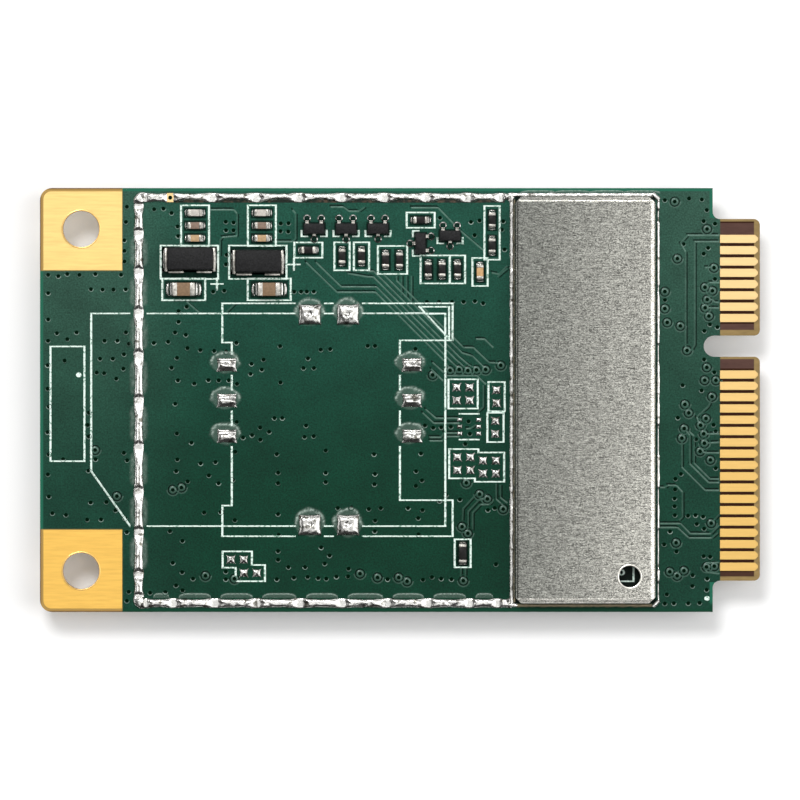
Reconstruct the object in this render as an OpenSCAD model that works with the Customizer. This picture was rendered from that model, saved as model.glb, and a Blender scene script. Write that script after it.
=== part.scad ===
// LTE data card for a mini card socket.
// A green board with gold edge contacts at +X and two mounting holes at -X. Its upper face carries
// a tinned shield track, a small shield can, chip parts and the pads of a card socket that is not
// fitted. Its lower face carries a large shield can and three antenna jacks.
// The upper face looks to +Z, and the card rests on the large can's lid at z = 0.

/* [Board] */
// Length of the board with its edge tongue
card_l = 50.95; // [49:0.05:60]
// Width of the board
card_w = 30; // [29:0.1:40]
// Thickness of the board
card_t = 1; // [0.6:0.05:1.6]
// Radius of the board's corners beside the mounting holes
corner_r = 0.85; // [0.3:0.05:1.5]
// Thickness of the gold plating on pads and contacts
plating_t = 0.04; // [0.02:0.01:0.1]

/* [Edge tongue] */
// Length of the tongue beyond the board's body
tongue_l = 3.345; // [3:0.005:4.5]
// Board between the outermost upper contact and the tongue's end
tongue_end_upper = 1.105; // [0.6:0.005:1.6]
// Board between the outermost lower contact and the tongue's end
tongue_end_lower = 0.705; // [0.6:0.005:1.2]
// Radius in the corners between body and tongue
step_r = 0.5; // [0.2:0.05:0.8]
// Radius of the tongue's outer corners
tongue_r = 0.45; // [0.1:0.05:0.6]
// Bevel along the tongue's leading edge
edge_bevel = 0.13; // [0.05:0.01:0.25]
// Distance of the key slot from the board's centre line
key_y = 3.81; // [3:0.01:4.5]
// Width of the key slot
key_w = 1.5; // [1:0.05:1.8]
// Length of the key slot, from the leading edge to its round end
key_l = 3.98; // [3:0.02:5]
// Radius at the mouth of the key slot
key_mouth_r = 0.4; // [0.1:0.05:0.5]

/* [Edge contacts] */
// Contacts on each face between the key slot and the upper end
contacts_upper = 8; // [4:1:8]
// Contacts on each face between the key slot and the lower end
contacts_lower = 18; // [8:1:18]
// Pitch of the contacts
contact_pitch = 0.8; // [0.6:0.01:0.88]
// Gap between two contacts
contact_gap = 0.21; // [0.1:0.01:0.35]
// Length of a contact
contact_l = 2.69; // [2:0.01:3.2]
// Length of a contact's tapered tip
contact_tip = 0.2; // [0.05:0.01:0.4]
// Width at the end of a contact's tip
contact_nose = 0.18; // [0.1:0.01:0.24]
// Bare board between the contact tips and the bevel
contact_bare = 0.015; // [0.01:0.005:0.3]
// Board between the key slot and the nearest contact
key_land = 0.955; // [0.6:0.005:1.2]

/* [Mounting holes] */
// Diameter of a mounting hole
hole_d = 2.6; // [2:0.05:3]
// Distance of a hole's centre from the end and the side of the board
hole_inset = 2.9; // [2.5:0.05:3.2]
// Length of a gold pad along the board
pad_l = 5.57; // [5:0.01:6.5]
// Width of a gold pad across the board
pad_w = 5.57; // [5:0.01:6.5]
// Bare board between a pad and the board's edges
pad_inset = 0.24; // [0.1:0.01:0.4]
// Radius of a pad's outer corner
pad_r = 0.55; // [0.2:0.05:1]

/* [Shield track] */
// Gap between the mounting pads and the track
track_gap = 0.8; // [0.5:0.05:1.2]
// Bare board between the track and the board's sides
track_edge = 0.34; // [0.2:0.02:0.5]
// Width of the track at its pads
track_w = 0.72; // [0.6:0.02:0.9]
// Width of a solder bead at its waist, midway between two pads
waist_w = 0.5; // [0.3:0.02:0.56]
// Height of a solder bead
bead_h = 0.16; // [0.1:0.01:0.25]
// Height of the flat pads between the beads
bead_flat_h = 0.11; // [0.06:0.01:0.2]
// Length of a flat pad along the track
bead_flat_l = 0.5; // [0.3:0.05:0.8]
// Pitch of the flat pads along the track
bead_pitch = 3.02; // [2.5:0.02:4]
// Distance of the first flat pad from the track's outer corner
bead_start = 2.4; // [1.5:0.05:3]
// Thickness of the flat solder under the shield frames
track_t = 0.06; // [0.04:0.01:0.12]
// Solder that shows outside a shield lid
track_out = 0.3; // [0.2:0.02:0.45]
// Solder inside a shield frame
track_in = 0.3; // [0.1:0.05:0.6]

/* [Shield cans] */
// Bare board between the small can's lid and the tongue
head_l = 4.035; // [2.5:0.005:5]
// Bare board between the outermost pad frame and the small can's solder
field_clear = 0.3; // [0.1:0.02:1]
// Bare board between a can's lid and the board's sides
can_edge = 0.62; // [0.5:0.02:1]
// Height of the small can above the board
can_h = 1.3; // [1.1:0.05:2]
// Height of the large can below the board
back_can_h = 2.35; // [1.8:0.05:3]
// How far the large can reaches past the track's centre line
back_can_lap = 0.1; // [0:0.02:0.3]
// Thickness of the shield sheet
sheet_t = 0.15; // [0.1:0.01:0.2]
// Outer radius of a lid's folded edges
bend_r = 0.36; // [0.25:0.01:0.45]
// Clearance between a lid's skirt and its frame
lid_gap = 0.03; // [0.01:0.01:0.06]
// Gap between the board and the lower edge of a lid's skirt
skirt_gap = 0.3; // [0.2:0.02:0.5]
// How far along each edge the corners of a lid and of a frame are cut off
corner_cut = 0.5; // [0.45:0.01:0.6]
// Width of a frame's inward flange
flange_w = 0.7; // [0.4:0.05:1.5]
// Pitch of the slits in a skirt and of the gaps in a frame's foot
slit_pitch = 3.2; // [2.5:0.1:5]
// Width of a slit in a skirt
slit_w = 0.22; // [0.1:0.02:0.4]
// Height of a slit in a skirt
slit_h = 0.4; // [0.2:0.05:0.5]
// Width of a gap in a frame's foot
foot_gap_w = 0.9; // [0.4:0.1:1.6]
// Height of a gap in a frame's foot
foot_gap_h = 0.12; // [0.05:0.01:0.2]
// Diameter of the view hole in the small can's lid
view_hole_d = 1.6; // [1:0.1:2]
// Distance of the view hole from the lid's side at the edge contacts
view_hole_x = 1.87; // [1.6:0.05:3]
// Distance of the view hole from the lid's lower end
view_hole_y = 1.9; // [1.6:0.05:3]

/* [Antenna jacks] */
// Distance of the jacks from the board's end
jack_inset = 3.2; // [2.5:0.1:4]
// Pitch of the jacks
jack_pitch = 5.5; // [4:0.1:6]
// Side of a jack's insulator
jack_base = 2.6; // [2.4:0.05:3]
// Height of a jack's insulator
jack_base_h = 0.35; // [0.2:0.05:0.5]
// Width of the solder legs at a jack's sides
jack_leg = 0.3; // [0.2:0.05:0.5]
// Thickness of a jack's shell
jack_shell_t = 0.1; // [0.08:0.01:0.15]
// Outer diameter of a jack's ring
jack_ring_d = 2; // [1.8:0.05:2.3]
// Wall of a jack's ring
jack_wall = 0.2; // [0.15:0.01:0.3]
// Height of a jack's ring above its base
jack_ring_h = 0.8; // [0.7:0.05:1]
// Depth of the snap groove round the ring
jack_groove = 0.07; // [0.03:0.01:0.1]
// Height of the snap groove above the jack's base
jack_groove_z = 0.25; // [0.2:0.01:0.4]
// Diameter of a jack's centre pin
jack_pin_d = 0.5; // [0.3:0.05:0.6]
// Height of a jack's centre pin above the board
jack_pin_h = 0.95; // [0.7:0.05:1.1]
// Clearance round the centre pin in the insulator
jack_pin_gap = 0.02; // [0.01:0.01:0.05]

/* [Small chip parts] */
// Length of a small chip part
chip_l = 1; // [0.8:0.05:1.15]
// Width of a small chip part
chip_w = 0.5; // [0.4:0.02:0.6]
// Height of a small capacitor
chip_cap_h = 0.5; // [0.3:0.05:0.6]
// Height of a small resistor
chip_res_h = 0.35; // [0.2:0.05:0.5]
// Length of a small part's metal end
chip_end = 0.22; // [0.15:0.01:0.3]
// Radius of the chip parts' long edges
chip_r = 0.05; // [0.02:0.01:0.08]
// How much a chip part's metal ends stand out round its body
chip_lip = 0.015; // [0.005:0.005:0.03]
// Thickness of the solder under a part
joint_t = 0.04; // [0.02:0.01:0.08]
// How far a solder joint reaches past a part's end
joint_l = 0.22; // [0.15:0.01:0.26]
// Height of a solder joint at a part's end
joint_h = 0.16; // [0.1:0.01:0.2]
// Pitch of the small capacitors in a column
cap_pitch = 0.9; // [0.8:0.02:0.95]

/* [Large chip parts] */
// Length of a bulk capacitor
bulk_l = 1.62; // [1.4:0.02:1.8]
// Width of a bulk capacitor
bulk_w = 0.96; // [0.7:0.02:1.1]
// Height of a bulk capacitor
bulk_h = 0.85; // [0.5:0.05:1]
// Length of a bulk capacitor's metal end
bulk_end = 0.37; // [0.2:0.01:0.45]
// Length of a tantalum capacitor
tantalum_l = 3.4; // [3:0.05:3.6]
// Width of a tantalum capacitor
tantalum_w = 1.7; // [1.4:0.05:1.8]
// Height of a tantalum capacitor
tantalum_h = 1.1; // [0.8:0.05:1.3]
// Thickness of a tantalum capacitor's end plates
plate_t = 0.1; // [0.05:0.01:0.15]
// Width of a tantalum capacitor's end plates
plate_w = 1.2; // [0.8:0.05:1.35]
// Length of the protection diode
diode_l = 1.3; // [1.1:0.05:1.4]
// Width of the protection diode
diode_w = 0.55; // [0.4:0.05:0.65]
// Height of the protection diode
diode_h = 0.45; // [0.3:0.05:0.6]
// Draft of the moulded cases
draft = 0.08; // [0.04:0.01:0.12]

/* [Transistors] */
// Length of a transistor's case
transistor_l = 1.5; // [1.4:0.05:1.7]
// Width of a transistor's case
transistor_w = 0.8; // [0.7:0.02:0.9]
// Height of a transistor's case
transistor_h = 0.6; // [0.5:0.05:0.75]
// Distance between the two leads on one side
lead_spread = 1; // [0.8:0.05:1.1]
// Width of a lead
lead_w = 0.24; // [0.15:0.01:0.3]
// Thickness of a lead
lead_t = 0.1; // [0.06:0.01:0.14]
// How far a lead reaches out of the case
lead_out = 0.32; // [0.25:0.01:0.4]
// Solder round a lead's foot
lead_solder = 0.1; // [0.05:0.01:0.15]

/* [Card socket pads] */
// Distance of the socket's middle from the shield track's left run
sim_x = 12.8; // [12.5:0.05:13.1]
// Distance of the socket's middle from the shield track's upper run
sim_y = 15.7; // [15.5:0.05:16]
// Distance of the side pads from the socket's middle
sim_side = 6.55; // [6.3:0.05:6.8]
// Distance of the side pads' row above the socket's middle
sim_side_up = 1.37; // [0:0.05:1.6]
// Pitch of the side pads
sim_pitch = 2.52; // [2.2:0.02:2.6]
// Length of a side pad
sim_pad_l = 1.4; // [1:0.05:1.5]
// Width of a side pad
sim_pad_w = 0.95; // [0.7:0.05:1.1]
// Distance of the end tabs from the socket's middle
sim_end = 7.45; // [7.2:0.05:7.6]
// Distance of the end tabs' middle beside the socket's middle
sim_end_side = 0.67; // [0:0.01:1]
// Pitch of the two tabs at an end
sim_end_pitch = 2.7; // [2.4:0.05:3]
// Length of an end tab
sim_tab_l = 1.55; // [1.2:0.05:1.7]
// Width of an end tab
sim_tab_w = 1.45; // [1.2:0.05:1.6]
// Height of the solder on the socket pads
sim_solder_h = 0.18; // [0.1:0.01:0.3]

/* [Spare pads] */
// Side of a spare pad
spare_pad = 0.55; // [0.4:0.05:0.6]
// Pitch of the spare pads
spare_pitch = 0.92; // [0.85:0.01:0.96]
// Height of the solder on a spare pad
spare_solder_h = 0.08; // [0.04:0.01:0.15]
// Length of a pad of the six-pin part
pin_pad_l = 0.36; // [0.25:0.01:0.45]
// Width of a pad of the six-pin part
pin_pad_w = 0.24; // [0.15:0.01:0.3]
// Pitch of the six-pin part's pads
pin_pad_pitch = 0.49; // [0.4:0.01:0.55]
// Distance between the six-pin part's two rows
pin_pad_span = 1.34; // [1.1:0.02:1.4]

/* [Legend] */
// Width of a printed line
ink_w = 0.14; // [0.1:0.01:0.2]
// Thickness of the print
ink_t = 0.02; // [0.01:0.005:0.04]
// Frame clearance past a small part's ends
frame_end = 0.49; // [0.46:0.01:0.5]
// Frame clearance beside a small part
frame_side = 0.29; // [0.28:0.01:0.33]
// Frame clearance past a bulk capacitor's ends
bulk_frame_end = 0.71; // [0.5:0.01:0.75]
// Frame clearance round the tantalum capacitors
tantalum_frame = 0.33; // [0.32:0.01:0.36]
// Frame clearance round the spare pads
spare_frame = 0.3; // [0.28:0.01:0.31]
// Print left off round the solder of the socket pads and the track
ink_clear = 0.22; // [0.1:0.01:0.3]
// Length of the card outline printed round the socket
outline_l = 25.06; // [24.8:0.02:25.2]
// Width of the card outline printed round the socket
outline_w = 15.05; // [14.9:0.05:15.2]

/* [Hidden] */
// Circles stay round at every size
$fn = 48;
// The solder domes are small caps of large spheres
dome_fn = 360;
// How far a cut reaches past the face it opens
cut = 0.5;

// The name of each node in a numbered family
function numbered(name, count) = [for (i = [1:count]) str(name, "_", i)];
cap_count = 6;
resistor_count = 11;
transistor_count = 5;
jack_count = 3;

// Levels of the board's two faces
board_z0 = back_can_h;
board_z1 = board_z0 + card_t;

// Board edges, and the step between body and tongue
left_x = -card_l / 2;
right_x = card_l / 2;
side_y = card_w / 2;
body_x = right_x - tongue_l;

// Contact places, counted away from the key slot, and the tongue that carries them
contact_w = contact_pitch - contact_gap;
first_contact = key_w / 2 + key_land + contact_w / 2;
contact_x1 = right_x - edge_bevel - contact_bare;
contact_ys = concat(
    [for (i = [0:contacts_upper - 1]) key_y + first_contact + i * contact_pitch],
    [for (i = [0:contacts_lower - 1]) key_y - first_contact - i * contact_pitch]);
tongue_y1 = max(contact_ys) + contact_w / 2 + tongue_end_upper;
tongue_y0 = min(contact_ys) - contact_w / 2 - tongue_end_lower;

// Centre lines of the shield track, and its outer corner
hole_x = left_x + hole_inset;
hole_y = side_y - hole_inset;
track_x = left_x + pad_inset + pad_l + track_gap + track_w / 2;
track_y = side_y - track_edge - track_w / 2;
track_left = track_x - track_w / 2;
track_top = track_y + track_w / 2;

// The field of parts between the track and the small can ends clear of its outermost pad frame
spare_right = 25.34;
field_l = spare_right + spare_pad / 2 + spare_frame + ink_w / 2 + field_clear + track_out;

// The two cans: length, width and middle
can_w = card_w - 2 * can_edge;
can_x0 = track_x + field_l;
can_x1 = body_x - head_l;
can_l = can_x1 - can_x0;
can_x = can_x0 + can_l / 2;
back_can_l = can_x1 - track_x + back_can_lap;
back_can_x = can_x1 - back_can_l / 2;
view_hole = [can_x1 - view_hole_x, view_hole_y - can_w / 2];

// A place measured right and down from the crossing of the track's left and upper runs
function from_corner(right, down) = [track_x + right, track_y - down];
// A place measured right and up from the crossing of the track's left and lower runs
function from_foot(right, up) = [track_x + right, -track_y + up];

// Two-ended parts as [place, turn]; a turn of 90 stands the part across the card
cap_columns = [4, 8.73];
cap_down = 1.06;
cap_places = [for (column = cap_columns, row = [0:2]) [from_corner(column, cap_down + row * cap_pitch), 0]];
resistor_places = [
    [from_corner(12.02, 3.69), 0],
    [from_corner(14.4, 4.13), 90],
    [from_corner(15.78, 4.13), 90],
    [from_corner(17.48, 4.39), 90],
    [from_corner(18.47, 4.39), 90],
    [from_corner(19.97, 1.57), 0],
    [from_corner(20.5, 5.06), 90],
    [from_corner(21.48, 5.06), 90],
    [from_corner(22.57, 5.06), 90],
    [from_corner(25.02, 1.56), 90],
    [from_corner(25.02, 3.38), 90]];
feed_place = [from_corner(24.17, 5.24), 90];
diode_place = [from_foot(22.94, 3.45), 90];
bulk_places = [[from_corner(3.2, 6.47), 0], [from_corner(9.25, 6.47), 0]];
tantalum_places = [[from_corner(3.6, 4.55), 0], [from_corner(8.44, 4.55), 0]];
transistor_places = [
    [from_corner(12.43, 2.18), 0],
    [from_corner(14.69, 2.18), 0],
    [from_corner(16.95, 2.18), 0],
    [from_corner(19.96, 3.22), -90],
    [from_corner(22.05, 2.68), 0]];

// Socket pads as [place, size]
sim_middle = from_corner(sim_x, sim_y);
sim_pads = concat(
    [for (side = [-1, 1], row = [-1:1])
        [sim_middle + [side * sim_side, sim_side_up + row * sim_pitch], [sim_pad_l, sim_pad_w]]],
    [for (end = [-1, 1], side = [-0.5, 0.5])
        [sim_middle + [sim_end_side + side * sim_end_pitch, end * sim_end], [sim_tab_l, sim_tab_w]]]);

// Spare pad fields as [place of the middle, columns, rows]; the fields of one list share a frame
spare_groups = [
    [[from_corner(22.97, 13.87), 2, 2]],
    [[from_corner(spare_right, 14.06), 1, 2]],
    [[from_corner(25.26, 16.24), 1, 2]],
    [[from_corner(23.02, 18.81), 2, 2], [from_corner(24.84, 19.05), 2, 2]],
    [[from_foot(6.99, 3.01), 2, 1], [from_foot(7.91, 2.05), 2, 1]]];
pin_pad_middle = from_corner(23.4, 16.19);

// Chips under the cans as [place, size], placed from the cans' ends and long sides
// Those of the small can fill its length up to a clearance
chip_room = 1.2;
frame_inset = sheet_t + lid_gap;
can_chip_l = can_l - 2 * (frame_inset + sheet_t + track_in + chip_room);
back_can_x0 = can_x1 - back_can_l;
can_side = can_w / 2;
amplifier_chip = [[can_x, can_side - 9.4], [can_chip_l, 7, 0.8]];
front_end_chip = [[can_x, 9.4 - can_side], [can_chip_l, 5.5, 0.8]];
processor_chip = [[can_x1 - 12.35, can_side - 9.7], [11, 11, 1.1]];
storage_chip = [[can_x1 - 12.35, 6.2 - can_side], [8, 8, 1]];
power_chip = [[back_can_x0 + 8.5, can_side - 9.1], [7, 7, 1]];
transceiver_chip = [[back_can_x0 + 8.5, 8.7 - can_side], [7, 7, 0.9]];
crystal_can = [[back_can_x0 + 3.2, 0], [2.5, 2, 0.7]];
package_carrier = 0.25;
package_step = 0.1;

// Colours as the eye sees them
mask_green = [0.16, 0.31, 0.24];
gold = [0.93, 0.79, 0.45];
tin = [0.86, 0.86, 0.84];
sheet_grey = [0.68, 0.68, 0.65];
ink_white = [0.88, 0.95, 0.92];
case_black = [0.13, 0.12, 0.13];
ceramic_tan = [0.62, 0.5, 0.4];
ivory = [0.9, 0.88, 0.8];

// Stand a shape on the upper or the lower face of the board
module on_front() translate([0, 0, board_z1]) children();
module on_back() translate([0, 0, board_z0]) mirror([0, 0, 1]) children();

// Put a part at its [place, turn]
module at(spot) translate(spot[0]) rotate(spot[1]) children();

// The waste of a rounded corner: the body lies in the quadrant that starts at this turn
module corner_waste(r, turn) rotate(turn) difference() {
    square(r);
    translate([r, r]) circle(r);
}

// A rectangle round its middle with round corners
module round_rect(w, h, r) {
    square([w - 2 * r, h], center = true);
    square([w, h - 2 * r], center = true);
    for (x = [-1, 1], y = [-1, 1]) translate([x * (w / 2 - r), y * (h / 2 - r)]) circle(r);
}

// An upright outline with its two upper corners rounded
module round_top(w, h, r) {
    translate([-w / 2, 0]) square([w, h - r]);
    translate([r - w / 2, h - r]) square([w - 2 * r, r]);
    for (x = [-1, 1]) translate([x * (w / 2 - r), h - r]) circle(r);
}

// An upright outline that tapers above half its height
module draft_outline(w, h) polygon([
    [-w / 2, 0], [w / 2, 0], [w / 2, h / 2], [w / 2 - draft, h], [draft - w / 2, h], [-w / 2, h / 2]]);

// Blocks on the ground round the origin
module block(l, w, h) translate([-l / 2, -w / 2, 0]) cube([l, w, h]);
module along_x(l) rotate([90, 0, 90]) linear_extrude(l, center = true) children();
module along_y(w) rotate([90, 0, 0]) linear_extrude(w, center = true) children();
module bent_block(l, w, h, r) intersection() {
    along_x(l) round_top(w, h, r);
    along_y(w) round_top(l, h, r);
}
module moulded_block(l, w, h) intersection() {
    along_x(l) draft_outline(w, h);
    along_y(w) draft_outline(l, h);
}

// Outline of the board: body, tongue, key slot and all corner radii
module board_outline() difference() {
    union() {
        translate([left_x, -side_y]) square([body_x - left_x, card_w]);
        translate([body_x - cut, tongue_y0]) square([tongue_l + cut, tongue_y1 - tongue_y0]);
        translate([body_x, tongue_y1]) corner_waste(step_r, 0);
        translate([body_x, tongue_y0]) corner_waste(step_r, 270);
    }
    translate([left_x, -side_y]) corner_waste(corner_r, 0);
    translate([left_x, side_y]) corner_waste(corner_r, 270);
    translate([right_x, tongue_y0]) corner_waste(tongue_r, 90);
    translate([right_x, tongue_y1]) corner_waste(tongue_r, 180);
    translate([right_x - key_l + key_w / 2, key_y]) circle(d = key_w);
    translate([right_x - key_l + key_w / 2, key_y - key_w / 2]) square([key_l, key_w]);
    translate([right_x, key_y + key_w / 2]) corner_waste(key_mouth_r, 90);
    translate([right_x, key_y - key_w / 2]) corner_waste(key_mouth_r, 180);
}

// The board, drilled and bevelled
module circuit_board() color(mask_green) difference() {
    translate([0, 0, board_z0]) linear_extrude(card_t) board_outline();
    for (side = [-1, 1]) translate([hole_x, side * hole_y, board_z0 - cut])
        cylinder(d = hole_d, h = card_t + 2 * cut);
    for (z = [board_z0, board_z1]) translate([right_x, 0, z])
        rotate([0, 45, 0]) cube([sqrt(2) * edge_bevel, card_w, sqrt(2) * edge_bevel], center = true);
}

// One face's gold contacts, each with a tapered tip
module contact_row() color(gold) linear_extrude(plating_t) for (y = contact_ys) translate([contact_x1, y])
    polygon([
        [-contact_l, -contact_w / 2], [-contact_tip, -contact_w / 2], [0, -contact_nose / 2],
        [0, contact_nose / 2], [-contact_tip, contact_w / 2], [-contact_l, contact_w / 2]]);
module contact_fingers_front() on_front() contact_row();
module contact_fingers_back() on_back() contact_row();

// The gold pads round one face's mounting holes
module mount_pad() difference() {
    translate([left_x + pad_inset, side_y - pad_inset - pad_w, 0]) linear_extrude(plating_t) difference() {
        square([pad_l, pad_w]);
        translate([0, pad_w]) corner_waste(pad_r, 270);
    }
    translate([hole_x, hole_y, -cut]) cylinder(d = hole_d, h = plating_t + 2 * cut);
}
module mount_pad_pair() color(gold) {
    mount_pad();
    mirror([0, 1, 0]) mount_pad();
}
module mount_pads_front() on_front() mount_pad_pair();
module mount_pads_back() on_back() mount_pad_pair();

// A run of the tinned track along +X, with its centre line on the X axis
// The beads between its flat pads are domed and draw in to a waist
module bead_run(run) {
    dome_r = (pow(track_w / 2, 2) + pow(bead_h, 2)) / (2 * bead_h);
    pad_xs = [for (x = [bead_start:bead_pitch:run - bead_flat_l]) x];
    waist_l = bead_pitch - bead_flat_l;
    waist_in = (track_w - waist_w) / 2;
    waist_r = (pow(waist_l / 2, 2) + pow(waist_in, 2)) / (2 * waist_in);
    difference() {
        intersection() {
            translate([0, 0, bead_h - dome_r]) rotate([0, 90, 0]) cylinder(r = dome_r, h = run);
            translate([0, -track_w / 2, 0]) cube([run, track_w, bead_h]);
        }
        for (x = pad_xs, side = [-1, 1])
            translate([x - bead_pitch / 2, side * (waist_w / 2 + waist_r), -cut])
                cylinder(r = waist_r, h = bead_h + 2 * cut);
        for (x = pad_xs) translate([x - bead_flat_l / 2, -track_w, bead_flat_h])
            cube([bead_flat_l, 2 * track_w, bead_h]);
    }
}

// Flat solder under a frame, showing outside the lid of this length and width
module frame_solder(l, w) {
    inner = 2 * (frame_inset + sheet_t + track_in);
    difference() {
        block(l + 2 * track_out, w + 2 * track_out, track_t);
        translate([0, 0, -cut]) block(l - inner, w - inner, track_t + 2 * cut);
    }
}

// The tinned shield track on the upper face, with the part of it under the small can
module shield_rail_solder() color(tin) on_front() {
    for (side = [-1, 1]) translate([track_left, side * track_y, 0]) bead_run(can_x0 - track_out - track_left);
    translate([track_x, -track_top, 0]) rotate(90) bead_run(2 * track_top);
    translate([can_x, 0, 0]) frame_solder(can_l, can_w);
}
module shield_solder_back() color(tin) on_back() translate([back_can_x, 0, 0])
    frame_solder(back_can_l, can_w);

// A pillow of solder on a rectangular pad
module solder_pillow(l, w, h) {
    dome_r = (pow(l / 2, 2) + pow(w / 2, 2) + pow(h, 2)) / (2 * h);
    intersection() {
        translate([0, 0, h - dome_r]) sphere(dome_r, $fn = dome_fn);
        block(l, w, h);
    }
}
module sim_pad_solder() color(tin) on_front() for (pad = sim_pads)
    translate(pad[0]) solder_pillow(pad[1][0], pad[1][1], sim_solder_h);
module spare_pad_solder() color(tin) on_front() {
    for (group = spare_groups, field = group, column = [1:field[1]], row = [1:field[2]])
        translate(field[0] + spare_pitch * [column - (field[1] + 1) / 2, row - (field[2] + 1) / 2])
            solder_pillow(spare_pad, spare_pad, spare_solder_h);
    for (side = [-0.5, 0.5], row = [-1:1])
        translate(pin_pad_middle + [side * pin_pad_span, row * pin_pad_pitch])
            solder_pillow(pin_pad_l, pin_pad_w, spare_solder_h);
}

// Solder joints at the two ends of a part: a pad under the metal end and a fillet up its face
module end_joints(l, w, end) for (turn = [0, 180]) rotate(turn) translate([l / 2, 0, 0]) along_y(w)
    polygon([[-end, 0], [joint_l, 0], [joint_l, joint_t], [0, joint_h], [0, joint_t], [-end, joint_t]]);
// Solder under a transistor's three feet
module foot_joint() translate([-lead_w / 2 - lead_solder, transistor_w / 2, 0])
    cube([lead_w + 2 * lead_solder, lead_out + lead_solder, joint_t]);
module foot_joints() {
    for (side = [-0.5, 0.5]) translate([side * lead_spread, 0, 0]) foot_joint();
    rotate(180) foot_joint();
}
module chip_pad_solder() color(tin) on_front() {
    for (spot = concat(cap_places, resistor_places, [feed_place])) at(spot)
        end_joints(chip_l, chip_w, chip_end);
    for (spot = bulk_places) at(spot) end_joints(bulk_l, bulk_w, bulk_end);
    for (spot = tantalum_places) at(spot) end_joints(tantalum_l, plate_w, 2 * plate_t);
    at(diode_place) end_joints(diode_l, diode_w, chip_end);
    for (spot = transistor_places) at(spot) foot_joints();
}

// A chip part: a body with metal ends that stand a little proud, its long edges rounded
module chip_part(l, w, h, end, tint) translate([0, 0, joint_t + h / 2]) {
    color(tint) along_x(l - end) round_rect(w - 2 * chip_lip, h - 2 * chip_lip, chip_r);
    color(tin) for (side = [-1, 1]) translate([side * (l - end) / 2, 0, 0])
        along_x(end) round_rect(w, h, chip_r);
}
module decoupling_capacitor(i) on_front() at(cap_places[i])
    chip_part(chip_l, chip_w, chip_cap_h, chip_end, ivory);
module resistor(i) on_front() at(resistor_places[i])
    chip_part(chip_l, chip_w, chip_res_h, chip_end, case_black);
module feed_capacitor() on_front() at(feed_place)
    chip_part(chip_l, chip_w, chip_cap_h, chip_end, ceramic_tan);
module bulk_capacitor(i) on_front() at(bulk_places[i])
    chip_part(bulk_l, bulk_w, bulk_h, bulk_end, ceramic_tan);
module protection_diode() on_front() at(diode_place)
    chip_part(diode_l, diode_w, diode_h, chip_end, case_black);

// A tantalum capacitor: a moulded case with a bent plate at each end
module tantalum_capacitor(i) on_front() at(tantalum_places[i]) translate([0, 0, joint_t]) {
    color(case_black) moulded_block(tantalum_l - 2 * plate_t, tantalum_w, tantalum_h);
    color(tin) for (side = [-1, 1]) translate([side * (tantalum_l - plate_t) / 2, 0, 0])
        block(plate_t, plate_w, tantalum_h / 2);
}

// A transistor's bent lead, from inside the case to its flat foot
module lead() {
    shoulder = transistor_w / 2 + lead_out / 4;
    heel = transistor_w / 2 + lead_out / 2;
    toe = transistor_w / 2 + lead_out;
    lead_z = transistor_h / 2;
    rotate([90, 0, 90]) linear_extrude(lead_w, center = true) polygon([
        [0, lead_z], [shoulder - lead_t / 2, lead_z], [heel - lead_t / 2, 0], [toe, 0], [toe, lead_t],
        [heel + lead_t / 2, lead_t], [shoulder + lead_t / 2, lead_z + lead_t], [0, lead_z + lead_t]]);
}
module transistor(i) on_front() at(transistor_places[i]) translate([0, 0, joint_t]) {
    color(case_black) translate([0, 0, lead_t / 2]) moulded_block(transistor_l, transistor_w, transistor_h);
    color(tin) {
        for (side = [-0.5, 0.5]) translate([side * lead_spread, 0, 0]) lead();
        rotate(180) lead();
    }
}

// Gaps at a pitch along a side of this length, round its middle
function pitch_places(length) = [
    for (i = [1:floor(length / slit_pitch)]) (i - (floor(length / slit_pitch) + 1) / 2) * slit_pitch];
// Cuts of this width and height through all four sides of a box
module side_cuts(l, w, width, height) {
    for (y = pitch_places(w)) translate([0, y, 0]) block(l + 2 * cut, width, height);
    for (x = pitch_places(l)) translate([x, 0, 0]) block(width, w + 2 * cut, height);
}

// Slanting cuts that open the corners of folded sheet
module corner_cuts(l, w, h) {
    side = sqrt(2) * corner_cut;
    for (x = [-1, 1], y = [-1, 1]) translate([x * l / 2, y * w / 2, -cut])
        rotate(45) block(side, side, h + 2 * cut);
}
// Lid of a shield can, folded from one sheet: open corners and slits that let the skirt spring
module folded_lid(l, w, h) difference() {
    bent_block(l, w, h, bend_r);
    translate([0, 0, -cut]) bent_block(l - 2 * sheet_t, w - 2 * sheet_t, h + cut - sheet_t, bend_r - sheet_t);
    corner_cuts(l, w, h);
    translate([0, 0, -cut]) block(l + 2 * cut, w + 2 * cut, cut + skirt_gap);
    side_cuts(l, w, slit_w, skirt_gap + slit_h);
}
// Frame of a shield can: four walls on an inward flange, open at the corners, with gaps along the foot
module wall_frame(l, w, h) {
    frame_l = l - 2 * frame_inset;
    frame_w = w - 2 * frame_inset;
    frame_h = h - sheet_t - track_t;
    translate([0, 0, track_t]) difference() {
        bent_block(frame_l, frame_w, frame_h, bend_r - sheet_t);
        translate([0, 0, -cut]) block(frame_l - 2 * sheet_t, frame_w - 2 * sheet_t, frame_h + cut - sheet_t);
        block(frame_l - 2 * flange_w, frame_w - 2 * flange_w, frame_h + cut);
        corner_cuts(frame_l, frame_w, frame_h);
        translate([0, 0, -cut]) side_cuts(l, w, foot_gap_w, cut + foot_gap_h);
    }
}
module shield_frame_front() color(sheet_grey) on_front() translate([can_x, 0, 0])
    wall_frame(can_l, can_w, can_h);
module shield_lid_front() color(sheet_grey) on_front() difference() {
    translate([can_x, 0, 0]) folded_lid(can_l, can_w, can_h);
    translate([view_hole[0], view_hole[1], can_h / 2]) cylinder(d = view_hole_d, h = can_h);
}
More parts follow.
